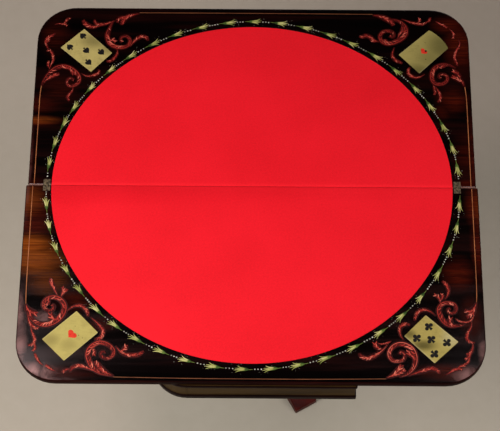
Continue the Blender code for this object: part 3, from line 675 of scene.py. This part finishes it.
def make_beads(brush, word):
    """Beads in the gaps between the husks, evenly spread."""
    low, high = BEAD_ENDS[word]
    tips = TIP_ANGLES[word]
    starts = [low] + [tip + TIP_TO_STALK for tip in tips]
    for start, end in zip(starts, [*tips, high]):
        count = round((end - start) / BEAD_STEP)
        for number in range(count):
            place, onward, outward = garland_frame(word, start + (end - start) * (number + 0.5) / count)
            place += outward * random.uniform(-BEAD_SHIFT, BEAD_SHIFT)
            dab(brush, place, BEAD_RADIUS * random.uniform(0.75, 1.1), random.uniform(0.3, 1.0))


def make_garland(word, green, white):
    """Husks of pointed leaves, with beads between them and a few specks beside them."""
    leaves = Brush(HUSK_SPACING)
    beads = Brush()
    for tip in TIP_ANGLES[word]:
        place, onward, outward = garland_frame(word, tip + TIP_TO_MIDDLE)
        size = random.uniform(0.94, 1.06) * MM

        def at(spot):
            return place + (onward * spot[0] + outward * spot[1]) * size

        leaves.stroke(map(at, HUSK_STALK), STALK_WIDTH, STALK_PROFILE, STALK_TINT)
        leaves.stroke(map(at, HUSK_BODY), BODY_WIDTH, BODY_PROFILE, random.uniform(0.0, 0.3))
        for spots in HUSK_TIPS:
            leaves.stroke(map(at, spots), TIP_WIDTH, TIP_PROFILE, random.uniform(0.55, 1.0))
        for number in range(SPECKS):
            speck = at((random.uniform(*SPECK_ALONG), random.choice((-1, 1)) * random.uniform(*SPECK_OUT)))
            if abs(speck.y - SEAM_Y) > SPECK_CLEAR:
                dab(beads, speck, SPECK_RADIUS * random.uniform(0.7, 1.2), random.uniform(0.0, 0.7))
    make_beads(beads, word)
    leaves.make(word + "_garland", word, green)
    beads.make(word + "_garland_beads", word, white)


# The painted line inside the edges of the leaves: measured places where it runs
LINE_SPACING = 0.006
LINE_WIDTH = 0.00145
LINE_PROFILE = ((0.9, 1.0, 0.95, 1.0, 0.9), 0.00002, 0.00004)
LINES = {
    "upper": (
        ((-439.2, 6), (-439.2, 120), (-439.1, 205), (-437.4, 232)),
        ((441.4, 6), (441.4, 120), (441.2, 205), (438.8, 236)),
        ((-240, 410.6), (-120, 410.9), (0, 411), (120, 410.9), (252, 410.4)),
    ),
    "lower": (
        ((-441.6, 1), (-441.6, -120), (-441.5, -215), (-440.2, -256)),
        ((442.6, 1), (442.6, -120), (442.4, -215), (441.0, -246)),
        ((-264, -406.6), (-120, -408.4), (0, -408.6), (120, -408.4), (260, -406.6)),
    ),
}


def make_lines(word, material):
    """The painted line of one leaf."""
    brush = Brush(LINE_SPACING)
    for points in LINES[word]:
        brush.stroke([measured(x, y) for x, y in points], LINE_WIDTH, LINE_PROFILE)
    brush.make(word + "_line", word, material)


# Two kinds of scroll, all values as shares: widths along one, its light line (start, end, distance away
# from the touches, width) and its touches (start, end, spacing, reach, reach on the other side)
VOLUTE = (
    (0.18, 0.55, 0.95, 1.0, 0.9, 0.78, 0.66, 0.56, 0.46), (0.03, 0.86, 0.34, 0.17),
    (0.05, 1.0, 0.5, 0.6, 0.0))
LEAF = ((0.1, 0.36, 0.72, 0.98, 1.0, 0.9, 0.35), (0.06, 0.84, 0.0, 0.2), (0.18, 0.92, 0.62, 0.44, 0.44))
# Scrolls of each corner: width, negative where the first touches lie to the right, then X and Y in turn of
# its places, in measured millimetres outwards from the middle. A leaf has at most ten places, a volute more.
LEAF_MOST = 10
SCROLLS = {
"upper_left": (
    (9, 240, 408.6, 249, 406.8, 262.3, 402.3, 271.4, 395, 275.9, 386, 277.7, 380.5),
    (7, 262, 403, 274, 400, 284, 394, 286, 386),
    (9, 294, 392, 298.6, 381.4, 302.3, 370.5, 305.8, 357.7, 305, 346.8, 300.5, 336, 291.4, 328.5, 280.5,
        325.5, 269.5, 326.5, 261.4, 331, 257.5, 339.5, 260, 348, 267, 353, 275, 351, 278, 344, 273.5, 338.7),
    (8, 301, 333, 299, 341, 293.5, 343.5, 288, 339),
    (6.5, 290, 391, 302.3, 386, 313.2, 382, 325.9, 381.4, 333.2, 386.8, 334, 393),
    (8.5, 318, 379, 336.8, 375, 347.7, 378.5, 355, 385, 358.5, 392),
    (7.5, 258, 327, 250, 339, 242.3, 347.7, 233.2, 352, 225, 350, 219.5, 342.5),
    (-6, 286, 326, 283.2, 316, 285, 306.8, 291.4, 297.7, 299, 292, 305.5, 293),
    (6, 357, 263, 347.7, 257, 338.6, 256, 328, 259.5, 320, 265, 320.5, 272),
    (-9, 437, 232, 434, 243, 427.7, 255, 418.6, 267, 407.7, 275.9, 395, 279, 382.3, 275.9, 371.4, 268.6, 363,
        259.5, 359.5, 248.6, 363, 238.5, 371.4, 233, 380.5, 233, 385.5, 240, 383.5, 248, 376.8, 251, 371.5,
        246.5),
    (-8, 434, 238, 428, 246, 418.6, 254, 408, 259, 401, 261),
    (6.5, 381, 275, 377, 268, 372.5, 262, 367, 262),
    (6, 371, 232, 374, 220, 379.5, 212.3, 382, 205, 378, 197),
    (-5.5, 424, 268, 420.5, 282, 416.5, 294, 418.6, 308, 424, 317, 432, 315),
    (5, 422, 272, 426, 282, 426, 292),
    (-6, 424, 314, 431, 327, 434, 338, 430, 348, 421, 354, 415, 359),
    (5, 433, 333, 428, 342, 427, 350),
    (-5, 418, 380, 408, 382.5, 400.5, 381.4, 395, 386.8, 391.4, 394, 384, 396),
    (4.5, 404, 382, 396, 381, 392, 377),
),
"upper_right": (
    (-10, 252, 408.4, 266, 405.9, 277, 401.4, 286, 396, 292.5, 390, 294, 382.5),
    (-9.5, 285, 399, 300.5, 396, 311.4, 390.5, 319, 380, 321, 368.6, 317, 357.7, 308.6, 349.5, 298.6, 343.5,
        287.7, 339.5, 277, 340, 268.5, 346.8, 266.5, 357.7, 272, 366.8, 281, 370, 291, 368, 296, 361, 292.5,
        354.5, 286.5, 358.5),
    (7.5, 303, 352, 307, 361, 313, 369, 314, 381),
    (7, 270, 348, 277, 347, 281, 340, 286, 336),
    (-8, 264, 343, 253.2, 348, 246, 354.5, 237, 357.7, 229.5, 355.5, 222.5, 356.5),
    (6, 262, 345, 252, 345, 247, 350),
    (-6.5, 296, 330, 291.5, 318, 291, 308.6, 296.4, 300, 305.5, 294.5, 311.5, 292),
    (6.5, 357, 266, 347.7, 260, 338, 258, 329.5, 261.4, 324, 267, 323.2, 275, 327, 282),
    (-6, 312, 399, 320, 396.5, 330, 392, 342.3, 388.6, 356.8, 387, 366, 393),
    (5.5, 345, 388.5, 350, 394, 350.5, 402),
    (5, 362, 390, 370, 395, 373, 403),
    (-5.5, 384, 394, 392, 389, 400, 384.5, 408, 379),
    (5, 412, 376, 418.6, 369, 421, 361, 419, 352),
    (-5.5, 430, 352, 433, 340, 428, 328, 422.3, 316, 420.5, 305, 424, 294, 426, 286),
    (5, 424, 320, 426, 327, 431, 330),
    (8.5, 422, 281, 414, 286, 406, 289, 396, 289.5, 386, 286, 377.5, 279.5, 372.2, 268.6, 371.3, 256, 375.8,
        246, 384.5, 242.3, 395, 244, 402.6, 251, 403.2, 261, 396.8, 266, 388.5, 265.5, 386.6, 259.5, 391,
        257),
    (9, 438.6, 236, 434.6, 247, 427, 254, 418, 259, 411.5, 261.5),
    (-8, 431, 252, 429, 262, 423, 270, 415, 275),
    (6.5, 377, 280, 375, 272, 372.5, 262),
    (6, 384, 286, 389, 282, 394, 284, 402, 287),
    (5.5, 373, 244, 375.5, 233, 377, 222, 373.5, 217.5),
    (-6, 377, 238, 384, 226, 387.5, 214, 386.5, 206, 381.5, 200),
),
"lower_left": (
    (-12, 440.2, 256, 437, 266, 431, 273, 423, 276, 416.5, 277.5),
    (10.5, 438, 268, 432, 281, 422, 292, 409, 299, 394.4, 299, 379.8, 292, 369.5, 281, 364.5, 268.5, 365.4,
        256.8, 373, 246.7, 383.5, 241.5, 394.4, 242.5, 402.8, 248.5, 406, 257, 402.5, 265.5, 394.4, 271,
        386.3, 267, 385.5, 259.5, 389.8, 257.8),
    (9.5, 374, 287, 381, 289, 388, 284, 391, 276),
    (7, 398, 243, 396, 252, 400, 258),
    (-7, 378, 240, 384, 229, 388.5, 219, 393, 210, 394.5, 200),
    (7.5, 373, 242, 370, 235, 368, 227, 371, 219.5),
    (-5.5, 368, 236, 364.5, 229, 360.5, 225),
    (-7, 361, 273, 353.5, 265.5, 345.3, 260.5, 334.4, 259, 325.5, 264.5, 319.3, 273, 317, 283),
    (-7.5, 313, 283, 303.5, 291, 294.4, 300.5, 287.5, 311.4, 289, 322, 296, 328.5, 303, 329),
    (-9.5, 262, 404.8, 276.2, 402, 293, 396.5, 305, 386, 312, 372, 314.5, 360, 312, 349.5, 303.5, 340.5, 294,
        336, 283.5, 337, 272.8, 342.6, 265.3, 351.6, 266, 362, 274.4, 368.5, 283.5, 367.6, 289.7, 361.8, 288,
        355.5, 281.4, 355.8),
    (-10, 265, 403, 277, 398, 288, 390, 296, 380, 300, 374),
    (7.5, 308, 346, 303, 354, 303, 363),
    (8, 262, 343, 256, 350, 250.7, 355.5, 241.6, 360, 229, 362, 216.2, 360, 206.5, 353),
    (8.5, 256, 353, 249, 353, 243, 348, 241, 340.5),
    (-7.5, 292, 398, 307, 391.5, 319.8, 386.5, 332.5, 384.5, 343.5, 389, 348, 397),
    (6.5, 347, 391, 355, 392, 361, 398),
    (-5, 373, 396, 381, 393, 388, 388, 395, 383),
    (5, 399, 384, 407, 377, 412.5, 368, 417, 359),
    (-6.5, 436, 276, 432, 291, 426, 301, 418, 307, 411, 306),
    (-6, 428, 300, 426, 312, 421, 323, 418.9, 333, 423.5, 341, 432, 342),
    (5, 420, 336, 417, 347, 421, 355),
),
"lower_right": (
    (10, 441, 246, 438, 254, 432.5, 262.3, 425, 266.5, 416.5, 263),
    (9, 438, 254, 434, 266, 427, 274, 420, 277),
    (4, 436, 262, 433, 277, 426, 286, 416, 288, 405, 286, 398, 280),
    (-9, 418, 290, 410, 294.5, 400, 296, 387.5, 295.5, 377, 289, 370, 278.6, 366.5, 266, 369, 256, 376.8,
        249, 387, 248, 396.3, 250.5, 400.5, 258.6, 397.9, 266.7, 390.7, 270, 384.7, 266.9, 384.5, 261, 389.3,
        259.8),
    (9.5, 400, 296, 392, 294, 387, 287, 389, 279),
    (7, 370, 250, 369.5, 241, 366, 234, 358.5, 231),
    (-6, 371, 244, 375, 236, 374, 229),
    (7, 379, 241, 385, 231.4, 387, 222.3, 385.5, 213, 380, 205.5, 375, 202),
    (7, 360.5, 276, 352.5, 268, 341.6, 263, 331, 264, 324, 270, 320, 279, 319, 286),
    (7, 296.5, 327, 291, 318.6, 288.6, 307.7, 291.2, 299, 298.5, 294, 310, 294.5),
    (10, 260, 404.8, 272.5, 399.5, 282, 391.5, 288, 383, 291, 377),
    (8, 270, 402, 283, 397, 292, 391, 298, 387),
    (9.5, 285, 402, 301, 396.5, 311.5, 386, 317, 373.2, 317.3, 358.6, 312, 345, 303, 337.8, 290.7, 334.2,
        278.5, 337.6, 269.7, 346.3, 267.2, 356.8, 271.4, 367, 280.2, 370.4, 291.8, 368.6, 297.7, 360.3,
        295.2, 352.4, 289, 351, 287.6, 356),
    (8.5, 316, 370, 313, 361, 306, 354, 304, 347),
    (-8, 266, 334, 259, 343, 249, 352.5, 238, 360, 225, 365, 213, 360, 209.5, 354),
    (-9, 256, 346, 248, 344, 242, 338.5, 241, 332),
    (3.5, 241, 331, 252, 335, 263, 333, 272, 329),
    (8, 303, 400, 320, 393.5, 334.4, 388.5, 345.3, 385, 356.2, 387, 364, 395),
    (-6, 374, 398, 382, 393.5, 389, 388.5, 400, 385, 408, 386.5),
    (-5, 398, 383, 406, 379, 414, 378),
    (6, 430, 284, 428, 298, 421, 311, 419, 322, 425.5, 330, 434, 331),
    (6, 430, 332, 429, 343, 424, 352, 416, 356),
    (5.5, 426, 348, 421, 360, 413, 366),
    (5, 423, 360, 419, 371, 412, 376),
),
}
SCROLL_WIDTH = 1.05             # of the body and of the glaze under it, times the measured width
SCROLL_HEIGHTS = (0.00004, 0.00006)
GLAZE_WIDTH = 1.5
GLAZE_HEIGHTS = (0.00001, 0.00002)
GLAZE_LEAST = 0.25              # least share of the glaze's width
GLAZE_SPACING = 0.003
RIM_PROFILE = ((0.2, 0.8, 1.0, 0.8, 0.3), 0.00011, 0.00004)
TOUCH_PROFILE = ((0.25, 1.0, 0.85, 0.15), 0.00012, 0.00005)
TOUCH_ROOT = (-0.3, 0.0)        # across and along, as shares of the scroll's width there
TOUCH_MIDDLE = (0.12, 0.18)
TOUCH_LEAN = 0.8
TOUCH_WIDTH = 0.25
TOUCH_RINGS = 0.0024            # spacing of the points along touches and light lines


def offset_line(line, shares, away):
    """The line moved sideways by a share of the stroke's own width at each place."""
    last = len(line) - 1
    moved = []
    for index, place in enumerate(line):
        moved.append(place + crosswise(heading(line, index)) * away * share_at(shares, index / last))
    return moved


def touches(brush, line, width, shares, side, start, end, spacing, reach):
    """Light comma-shaped touches that sweep from the middle of a scroll over one of its sides."""
    last = len(line) - 1
    count = round(last * STROKE_SPACING * (end - start) / (spacing * width))
    for number in range(count):
        t = start + (end - start) * (number + random.uniform(0.3, 0.7)) / count
        index = min(max(round(t * last), 1), last - 1)
        onward = heading(line, index)
        outward = crosswise(onward) * side
        size = width * share_at(shares, t) * random.uniform(0.85, 1.15)
        spots = (TOUCH_ROOT, TOUCH_MIDDLE, (reach, TOUCH_LEAN))
        points = [line[index] + (outward * across + onward * along) * size for across, along in spots]
        brush.stroke(points, TOUCH_WIDTH * size, TOUCH_PROFILE, random.uniform(0.2, 1.0), TOUCH_RINGS)


def paint_scroll(brush, under, places, width, side):
    """One scroll: dark body, light line and light touches, over a glaze."""
    kind = LEAF if len(places) <= LEAF_MOST else VOLUTE
    shares, (start, end, away, rim_width), (*touched, reach, other_reach) = kind
    glazed = [GLAZE_LEAST + (1 - GLAZE_LEAST) * share for share in shares]
    under.stroke(places, width * GLAZE_WIDTH, (glazed, *GLAZE_HEIGHTS))
    brush.stroke(places, width * SCROLL_WIDTH, (shares, *SCROLL_HEIGHTS), random.uniform(0.0, 0.15))
    line = spaced(smooth(places), STROKE_SPACING)
    moved = offset_line(line, shares, -side * away * width)
    rim = moved[round(start * len(line)):round(end * len(line)):2]
    brush.stroke(rim, width * rim_width, RIM_PROFILE, random.uniform(0.55, 0.85), TOUCH_RINGS)
    touches(brush, line, width, shares, side, *touched, reach)
    if other_reach:
        touches(brush, line, width, shares, -side, *touched, other_reach)


def make_scrolls(word, paint, glaze):
    """The scrolls of the two corners of one leaf."""
    brush = Brush()
    under = Brush(GLAZE_SPACING)
    for corner, out in (("_left", -1), ("_right", 1)):
        for width, *numbers in SCROLLS[word + corner]:
            places = [measured(out * x, SIDES[word] * y) for x, y in zip(numbers[::2], numbers[1::2])]
            paint_scroll(brush, under, places, abs(width) * MM, math.copysign(1, width))
    brush.make(word + "_scrolls", word, paint)
    under.make(word + "_scroll_glaze", word, glaze)


# Painted playing cards: leaf, corners, which edge bows, suit, width of a pip, its places and its turns
CARDS = {
    "upper_left_card": (
        "upper", ((-402.3, 324.1), (-336.5, 266.3), (-294.1, 311.9), (-355, 369.9)), None, "spade", 14.2,
        ((-357.4, 353.2, 135), (-383.5, 325.9, 135), (-348.1, 317.4, -45), (-316.8, 313.7, -45),
         (-342.3, 289, -45))),
    "upper_right_card": (
        "upper", ((304.1, 312.3), (345.9, 267.7), (408.3, 329), (370, 372.5)), 2, "heart", 15.8,
        ((356, 320, 45),)),
    "lower_left_card": (
        "lower", ((-404.4, -329.9), (-359.8, -374.1), (-296.7, -315.4), (-340.2, -270.5)), None, "heart",
        20.5, ((-348, -320.5, 45),)),
    "lower_right_card": (
        "lower", ((297.5, -318.1), (354.4, -374.1), (402, -329.5), (340.7, -274.1)), None, "club", 15.5,
        ((345.6, -298.1, 135), (321.6, -322.3, 135), (349.5, -325, 135), (379.8, -331.4, -45),
         (354.7, -355, -45))),
}
CARD_BOW = 0.0045
BOW_STEPS = 10
CARD_CORNER = 0.0015
CORNER_STEPS = 4
CARD_HEIGHT = 0.0001
PIP_HEIGHT = 0.00014
PIP_STEP = 0.00001
# Small dark marks on the cards: place in measured millimetres, radius
CARD_MARKS = {
    "upper_right_card": ((361, 321.7, 2.3), (360.4, 341.8, 0.8), (360.4, 301.8, 1.0)),
    "lower_left_card": ((-333.8, -321.3, 0.8), (-326.5, -326.7, 0.75), (-341.5, -302.2, 0.8)),
}
HEART_STEPS = 36
# Right half of a spade one unit wide, from its point round to the middle of its foot
SPADE_HALF = (
    (0.0, 0.6), (0.11, 0.45), (0.28, 0.3), (0.43, 0.13), (0.5, -0.05), (0.5, -0.2), (0.42, -0.33),
    (0.28, -0.39), (0.1, -0.33), (0.09, -0.46), (0.17, -0.64), (0.0, -0.64))
# A club one unit wide: its discs, each with its radius, and its foot
CLUB_DISCS = ((0, 0.32, 0.25), (-0.36, -0.03, 0.25), (0.36, -0.03, 0.25), (0, 0.08, 0.22))
CLUB_STEPS = 17
CLUB_FOOT = ((-0.2, -0.54), (0.2, -0.54), (0.07, 0.05), (-0.07, 0.05))


def rounded(corners, bowed):
    """The outline of a card with small round corners, one edge of which may bow outwards."""
    outline = []
    for index, corner in enumerate(corners):
        before = corners[index - 1]
        after = corners[(index + 1) % len(corners)]
        start = corner + (before - corner).normalized() * CARD_CORNER
        end = corner + (after - corner).normalized() * CARD_CORNER
        for step in range(CORNER_STEPS + 1):
            t = step / CORNER_STEPS
            outline.append(start * (1 - t) ** 2 + corner * 2 * t * (1 - t) + end * t ** 2)
        if bowed == index:
            edge = after - corner
            out = -crosswise(edge).normalized()
            for step in range(1, BOW_STEPS):
                t = step / BOW_STEPS
                outline.append(corner + edge * t + out * CARD_BOW * 4 * t * (1 - t))
    return outline


def heart_outline():
    """A heart one unit wide, its point at -Y."""
    outline = []
    for step in range(HEART_STEPS):
        t = 2 * math.pi * step / HEART_STEPS
        x = 16 * math.sin(t) ** 3
        y = 12 * math.cos(t) - 3.5 * math.cos(2 * t) - 1.5 * math.cos(3 * t) - 0.5 * math.cos(4 * t)
        outline.append(Vector((x, y + 2)) / 32)
    return outline


def pip_outlines(suit):
    """The closed outlines that make one pip one unit wide, its top at +Y."""
    if suit == "heart":
        return [heart_outline()]
    if suit == "spade":
        left_half = [(-x, y) for x, y in SPADE_HALF[-2:0:-1]]
        return [[Vector(spot) for spot in (*SPADE_HALF, *left_half)]]
    discs = [disc(Vector(middle), radius, CLUB_STEPS) for *middle, radius in CLUB_DISCS]
    return [*discs, [Vector(spot) for spot in CLUB_FOOT]]


def make_card(name, materials):
    """One card and its pips."""
    word, corners, bowed, suit, size, pips = CARDS[name]
    a, b, c, d = places = [measured(x, y) for x, y in corners]
    middle = (a + b + c + d) / 4
    lengthwise = b + c - a - d if (b - a).length > (d - a).length else c + d - a - b
    side = crosswise(lengthwise).normalized() / min((b - a).length, (d - a).length) * 2
    brush = Brush()
    brush.patch(rounded(places, bowed), -SUNK, CARD_HEIGHT, lambda place: (place - middle).dot(side))
    brush.make(name, word, materials[name])
    marks = Brush()
    for x, y, turn in pips:
        spin = Matrix.Rotation(math.radians(turn - 90), 2)
        for number, outline in enumerate(pip_outlines(suit)):
            moved = [measured(x, y) + spin @ (spot * size * MM) for spot in outline]
            marks.patch(moved, CARD_HEIGHT - SUNK, PIP_HEIGHT + number * PIP_STEP)
    marks.make(name + "_pips", word, materials[suit])
    if name in CARD_MARKS:
        spots = Brush()
        for x, y, radius in CARD_MARKS[name]:
            outline = disc(measured(x, y), radius * MM, DAB_STEPS)
            spots.patch(outline, CARD_HEIGHT - SUNK, PIP_HEIGHT + 2 * PIP_STEP)
        spots.make(name + "_marks", word, materials["spade"])


# Floor, lights and camera
CAMERA_PLACE = (0.0048, -1.62165, 4.0095)
CAMERA_TURN = (25.4205, -0.0547, 0.4199)
CAMERA_LENS = 130.53
FLOOR_HALF = 20.0       # half the floor's width
FLOOR_TONES = ((0.47, 0.42, 0.34), (0.52, 0.47, 0.39))
SKY_COLOUR = (1.0, 0.985, 0.96, 1.0)
SKY_FADE = (0.1, 0.7, 0.42, 0.01)     # heights between which the sky fades, and its strength at each
LIGHTS = (                              # name, place, point it faces, size, power, colour
    ("key", (-1.4, -1.25, 2.1), (0.0, 0.0, 0.7), (1.3, 1.3), 46.5, (1.0, 0.98, 0.95)),
    ("side", (1.7, -1.3, 1.9), (0.1, 0.0, 0.6), (1.2, 1.2), 20, (1.0, 0.98, 0.96)),
    ("back", (0.6, 2.9, 1.5), (0.0, 0.0, 0.6), (1.6, 1.0), 3.5, (1.0, 0.98, 0.96)),
    ("left_sheen", (-1.09, 0.09, 3.24), (-1.09, 0.091, 0), (0.66, 0.92), 20, (1.0, 0.8, 0.8)),
    ("right_sheen", (1.14, -0.01, 3.24), (1.14, -0.009, 0), (0.76, 0.9), 13, (1.0, 0.86, 0.86)),
)


def make_studio():
    """Plain pale floor, soft light and the camera."""
    mesh = bpy.data.meshes.new("floor")
    corners = [(x * FLOOR_HALF, y * FLOOR_HALF, 0) for x, y in ((-1, -1), (1, -1), (1, 1), (-1, 1))]
    mesh.from_pydata(corners, [], [(0, 1, 2, 3)])
    floor = placed("floor", mesh)
    s = Shader("pale_floor", 0.9, 0.2)
    mesh.materials.append(s.finish(s.mix(s.noise(30, 4), *FLOOR_TONES)))
    world = bpy.data.worlds.new("studio")
    world.use_nodes = True
    sky = Nodes(world.node_tree)
    height = sky.node("SeparateXYZ", {0: sky.node("TexCoord").outputs["Generated"]}).outputs[2]
    light = sky.tree.nodes["Background"].inputs
    sky.put(light[0], SKY_COLOUR)
    sky.put(light[1], sky.node("MapRange", dict(enumerate((height, *SKY_FADE)))).outputs[0])
    for name, place, aim, size, power, colour in LIGHTS:
        lamp = bpy.data.lights.new(name, "AREA")
        lamp.shape = "RECTANGLE"
        lamp.size, lamp.size_y = size
        lamp.energy = power
        lamp.color = colour
        thing = placed(name, lamp)
        thing.location = place
        thing.rotation_euler = (Vector(aim) - Vector(place)).to_track_quat("-Z", "Y").to_euler()
    lens = bpy.data.cameras.new("camera")
    lens.sensor_fit = "HORIZONTAL"
    lens.sensor_width = 36.0
    lens.lens = CAMERA_LENS
    camera = placed("camera", lens)
    camera.location = CAMERA_PLACE
    camera.rotation_euler = [math.radians(turn) for turn in CAMERA_TURN]
    scene = bpy.context.scene
    scene.world = world
    scene.camera = camera
    scene.view_settings.view_transform = "Standard"


SHADE_BEAD_HEIGHT = 0.0062            # of the small dark moulding under the top, also standing in for the shade under it
SHADE_BEAD_DROP = 0.0006              # from the top of the frame
FRAME_MOULDINGS = ("front_moulding", "back_moulding", "near_end_moulding", "far_end_moulding")


def make_frame_bead_and_shade(material):
    """The small dark moulding round the top of the frame, with the outline of the one at its foot; it is also
    painted shade, standing in for the shade under the top's edge.
    """
    shape = bmesh.new()
    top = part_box("near_end_rail")[1].z - SHADE_BEAD_DROP
    for name in FRAME_MOULDINGS:
        first = len(shape.verts)
        shape.from_mesh(bpy.data.objects[name].data)
        low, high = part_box(name)
        shape.verts.ensure_lookup_table()
        for vert in shape.verts[first:]:
            vert.co.z = top - SHADE_BEAD_HEIGHT * (vert.co.z - low.z) / (high.z - low.z)
    bmesh.ops.reverse_faces(shape, faces=shape.faces)
    new_piece("frame_top_bead", shape, "base", material)


def dress_frame():
    """Materials of the nodes that show as they are, by the first word that their name holds."""
    end_veneer = wood("end_veneer", *VENEER, 0, 0.04)
    side_veneer = wood("side_veneer", *VENEER, 1, 0.04)
    black_x = wood("ebonised_end", *EBONISED, 0, 0.05)
    black_y = wood("ebonised_side", *EBONISED, 1, 0.05)
    red_x = wood("mahogany_x", *MAHOGANY, 0, 0.06)
    red_z = wood("mahogany_z", *MAHOGANY, 2, 0.1)
    pale_x = wood("inside_x", *INSIDE, 0, 0.3)
    pale_y = wood("inside_y", *INSIDE, 1, 0.3)
    brass = aged_metal("aged_brass", *BRASS)
    iron = aged_metal("dark_iron", *IRON)
    rules = (
        ("leaf", rosewood_top()), ("end_rail", end_veneer), ("corner_block", end_veneer),
        ("front_rail", side_veneer), ("back_rail", side_veneer), ("end_moulding", black_x),
        ("_moulding", black_y), ("column_bearer", pale_x), ("column", red_z), ("_leg", red_x),
        ("pivot_rail_block", pale_x), ("pivot_rail", red_x), ("stop_block", red_x),
        ("well_partition", pale_x), ("well_bottom", pale_y), ("glue_block", pale_x), ("spider", iron),
        ("pivot_bush", brass), ("pivot", iron), ("_pin", iron), ("hinge", brass),
    )
    for name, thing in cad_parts.items():
        for word, material in rules:
            if word in name:
                thing.data.materials.clear()
                thing.data.materials.append(material)
                break
    # The frame's dark top moulding, which is also painted shade under the top's edge
    make_frame_bead_and_shade(black_x)


def dress_top():
    """Cloth and painted ornament."""
    cloth = baize_cloth()
    edge = wood("shaded_edge_wood", *SHADED_EDGE_TONES, 0, 0.02)
    green = brush_paint("husk_green", HUSK_GREEN)
    white = dab_paint("bead_white", *BEAD_WHITES)
    orange = line_paint("line_orange", *LINE_ORANGES)
    glaze = plain_paint("scroll_glaze", *GLAZE_REDS, 120, 0.3)
    materials = {name: card_paint(*paint) for name, paint in CARD_PAINTS.items()}
    materials["spade"] = materials["club"] = plain_paint("pip_black", *PIP_BLACKS, 160, 0.6)
    materials["heart"] = plain_paint("pip_red", *PIP_REDS, 160, 0.55)
    for word in SIDES:
        # A dark dull skin on the leaf's side faces, painted shade
        make_shaded_edge(word, edge)
        make_cloth(word, cloth)
        make_garland(word, green, white)
        make_lines(word, orange)
        name, *stops = SCROLL_REDS[word]
        make_scrolls(word, brush_paint(name, (*SCROLL_SHADOW, *stops)), glaze)
    for name in CARDS:
        make_card(name, materials)


make_studio()
dress_frame()
dress_top()
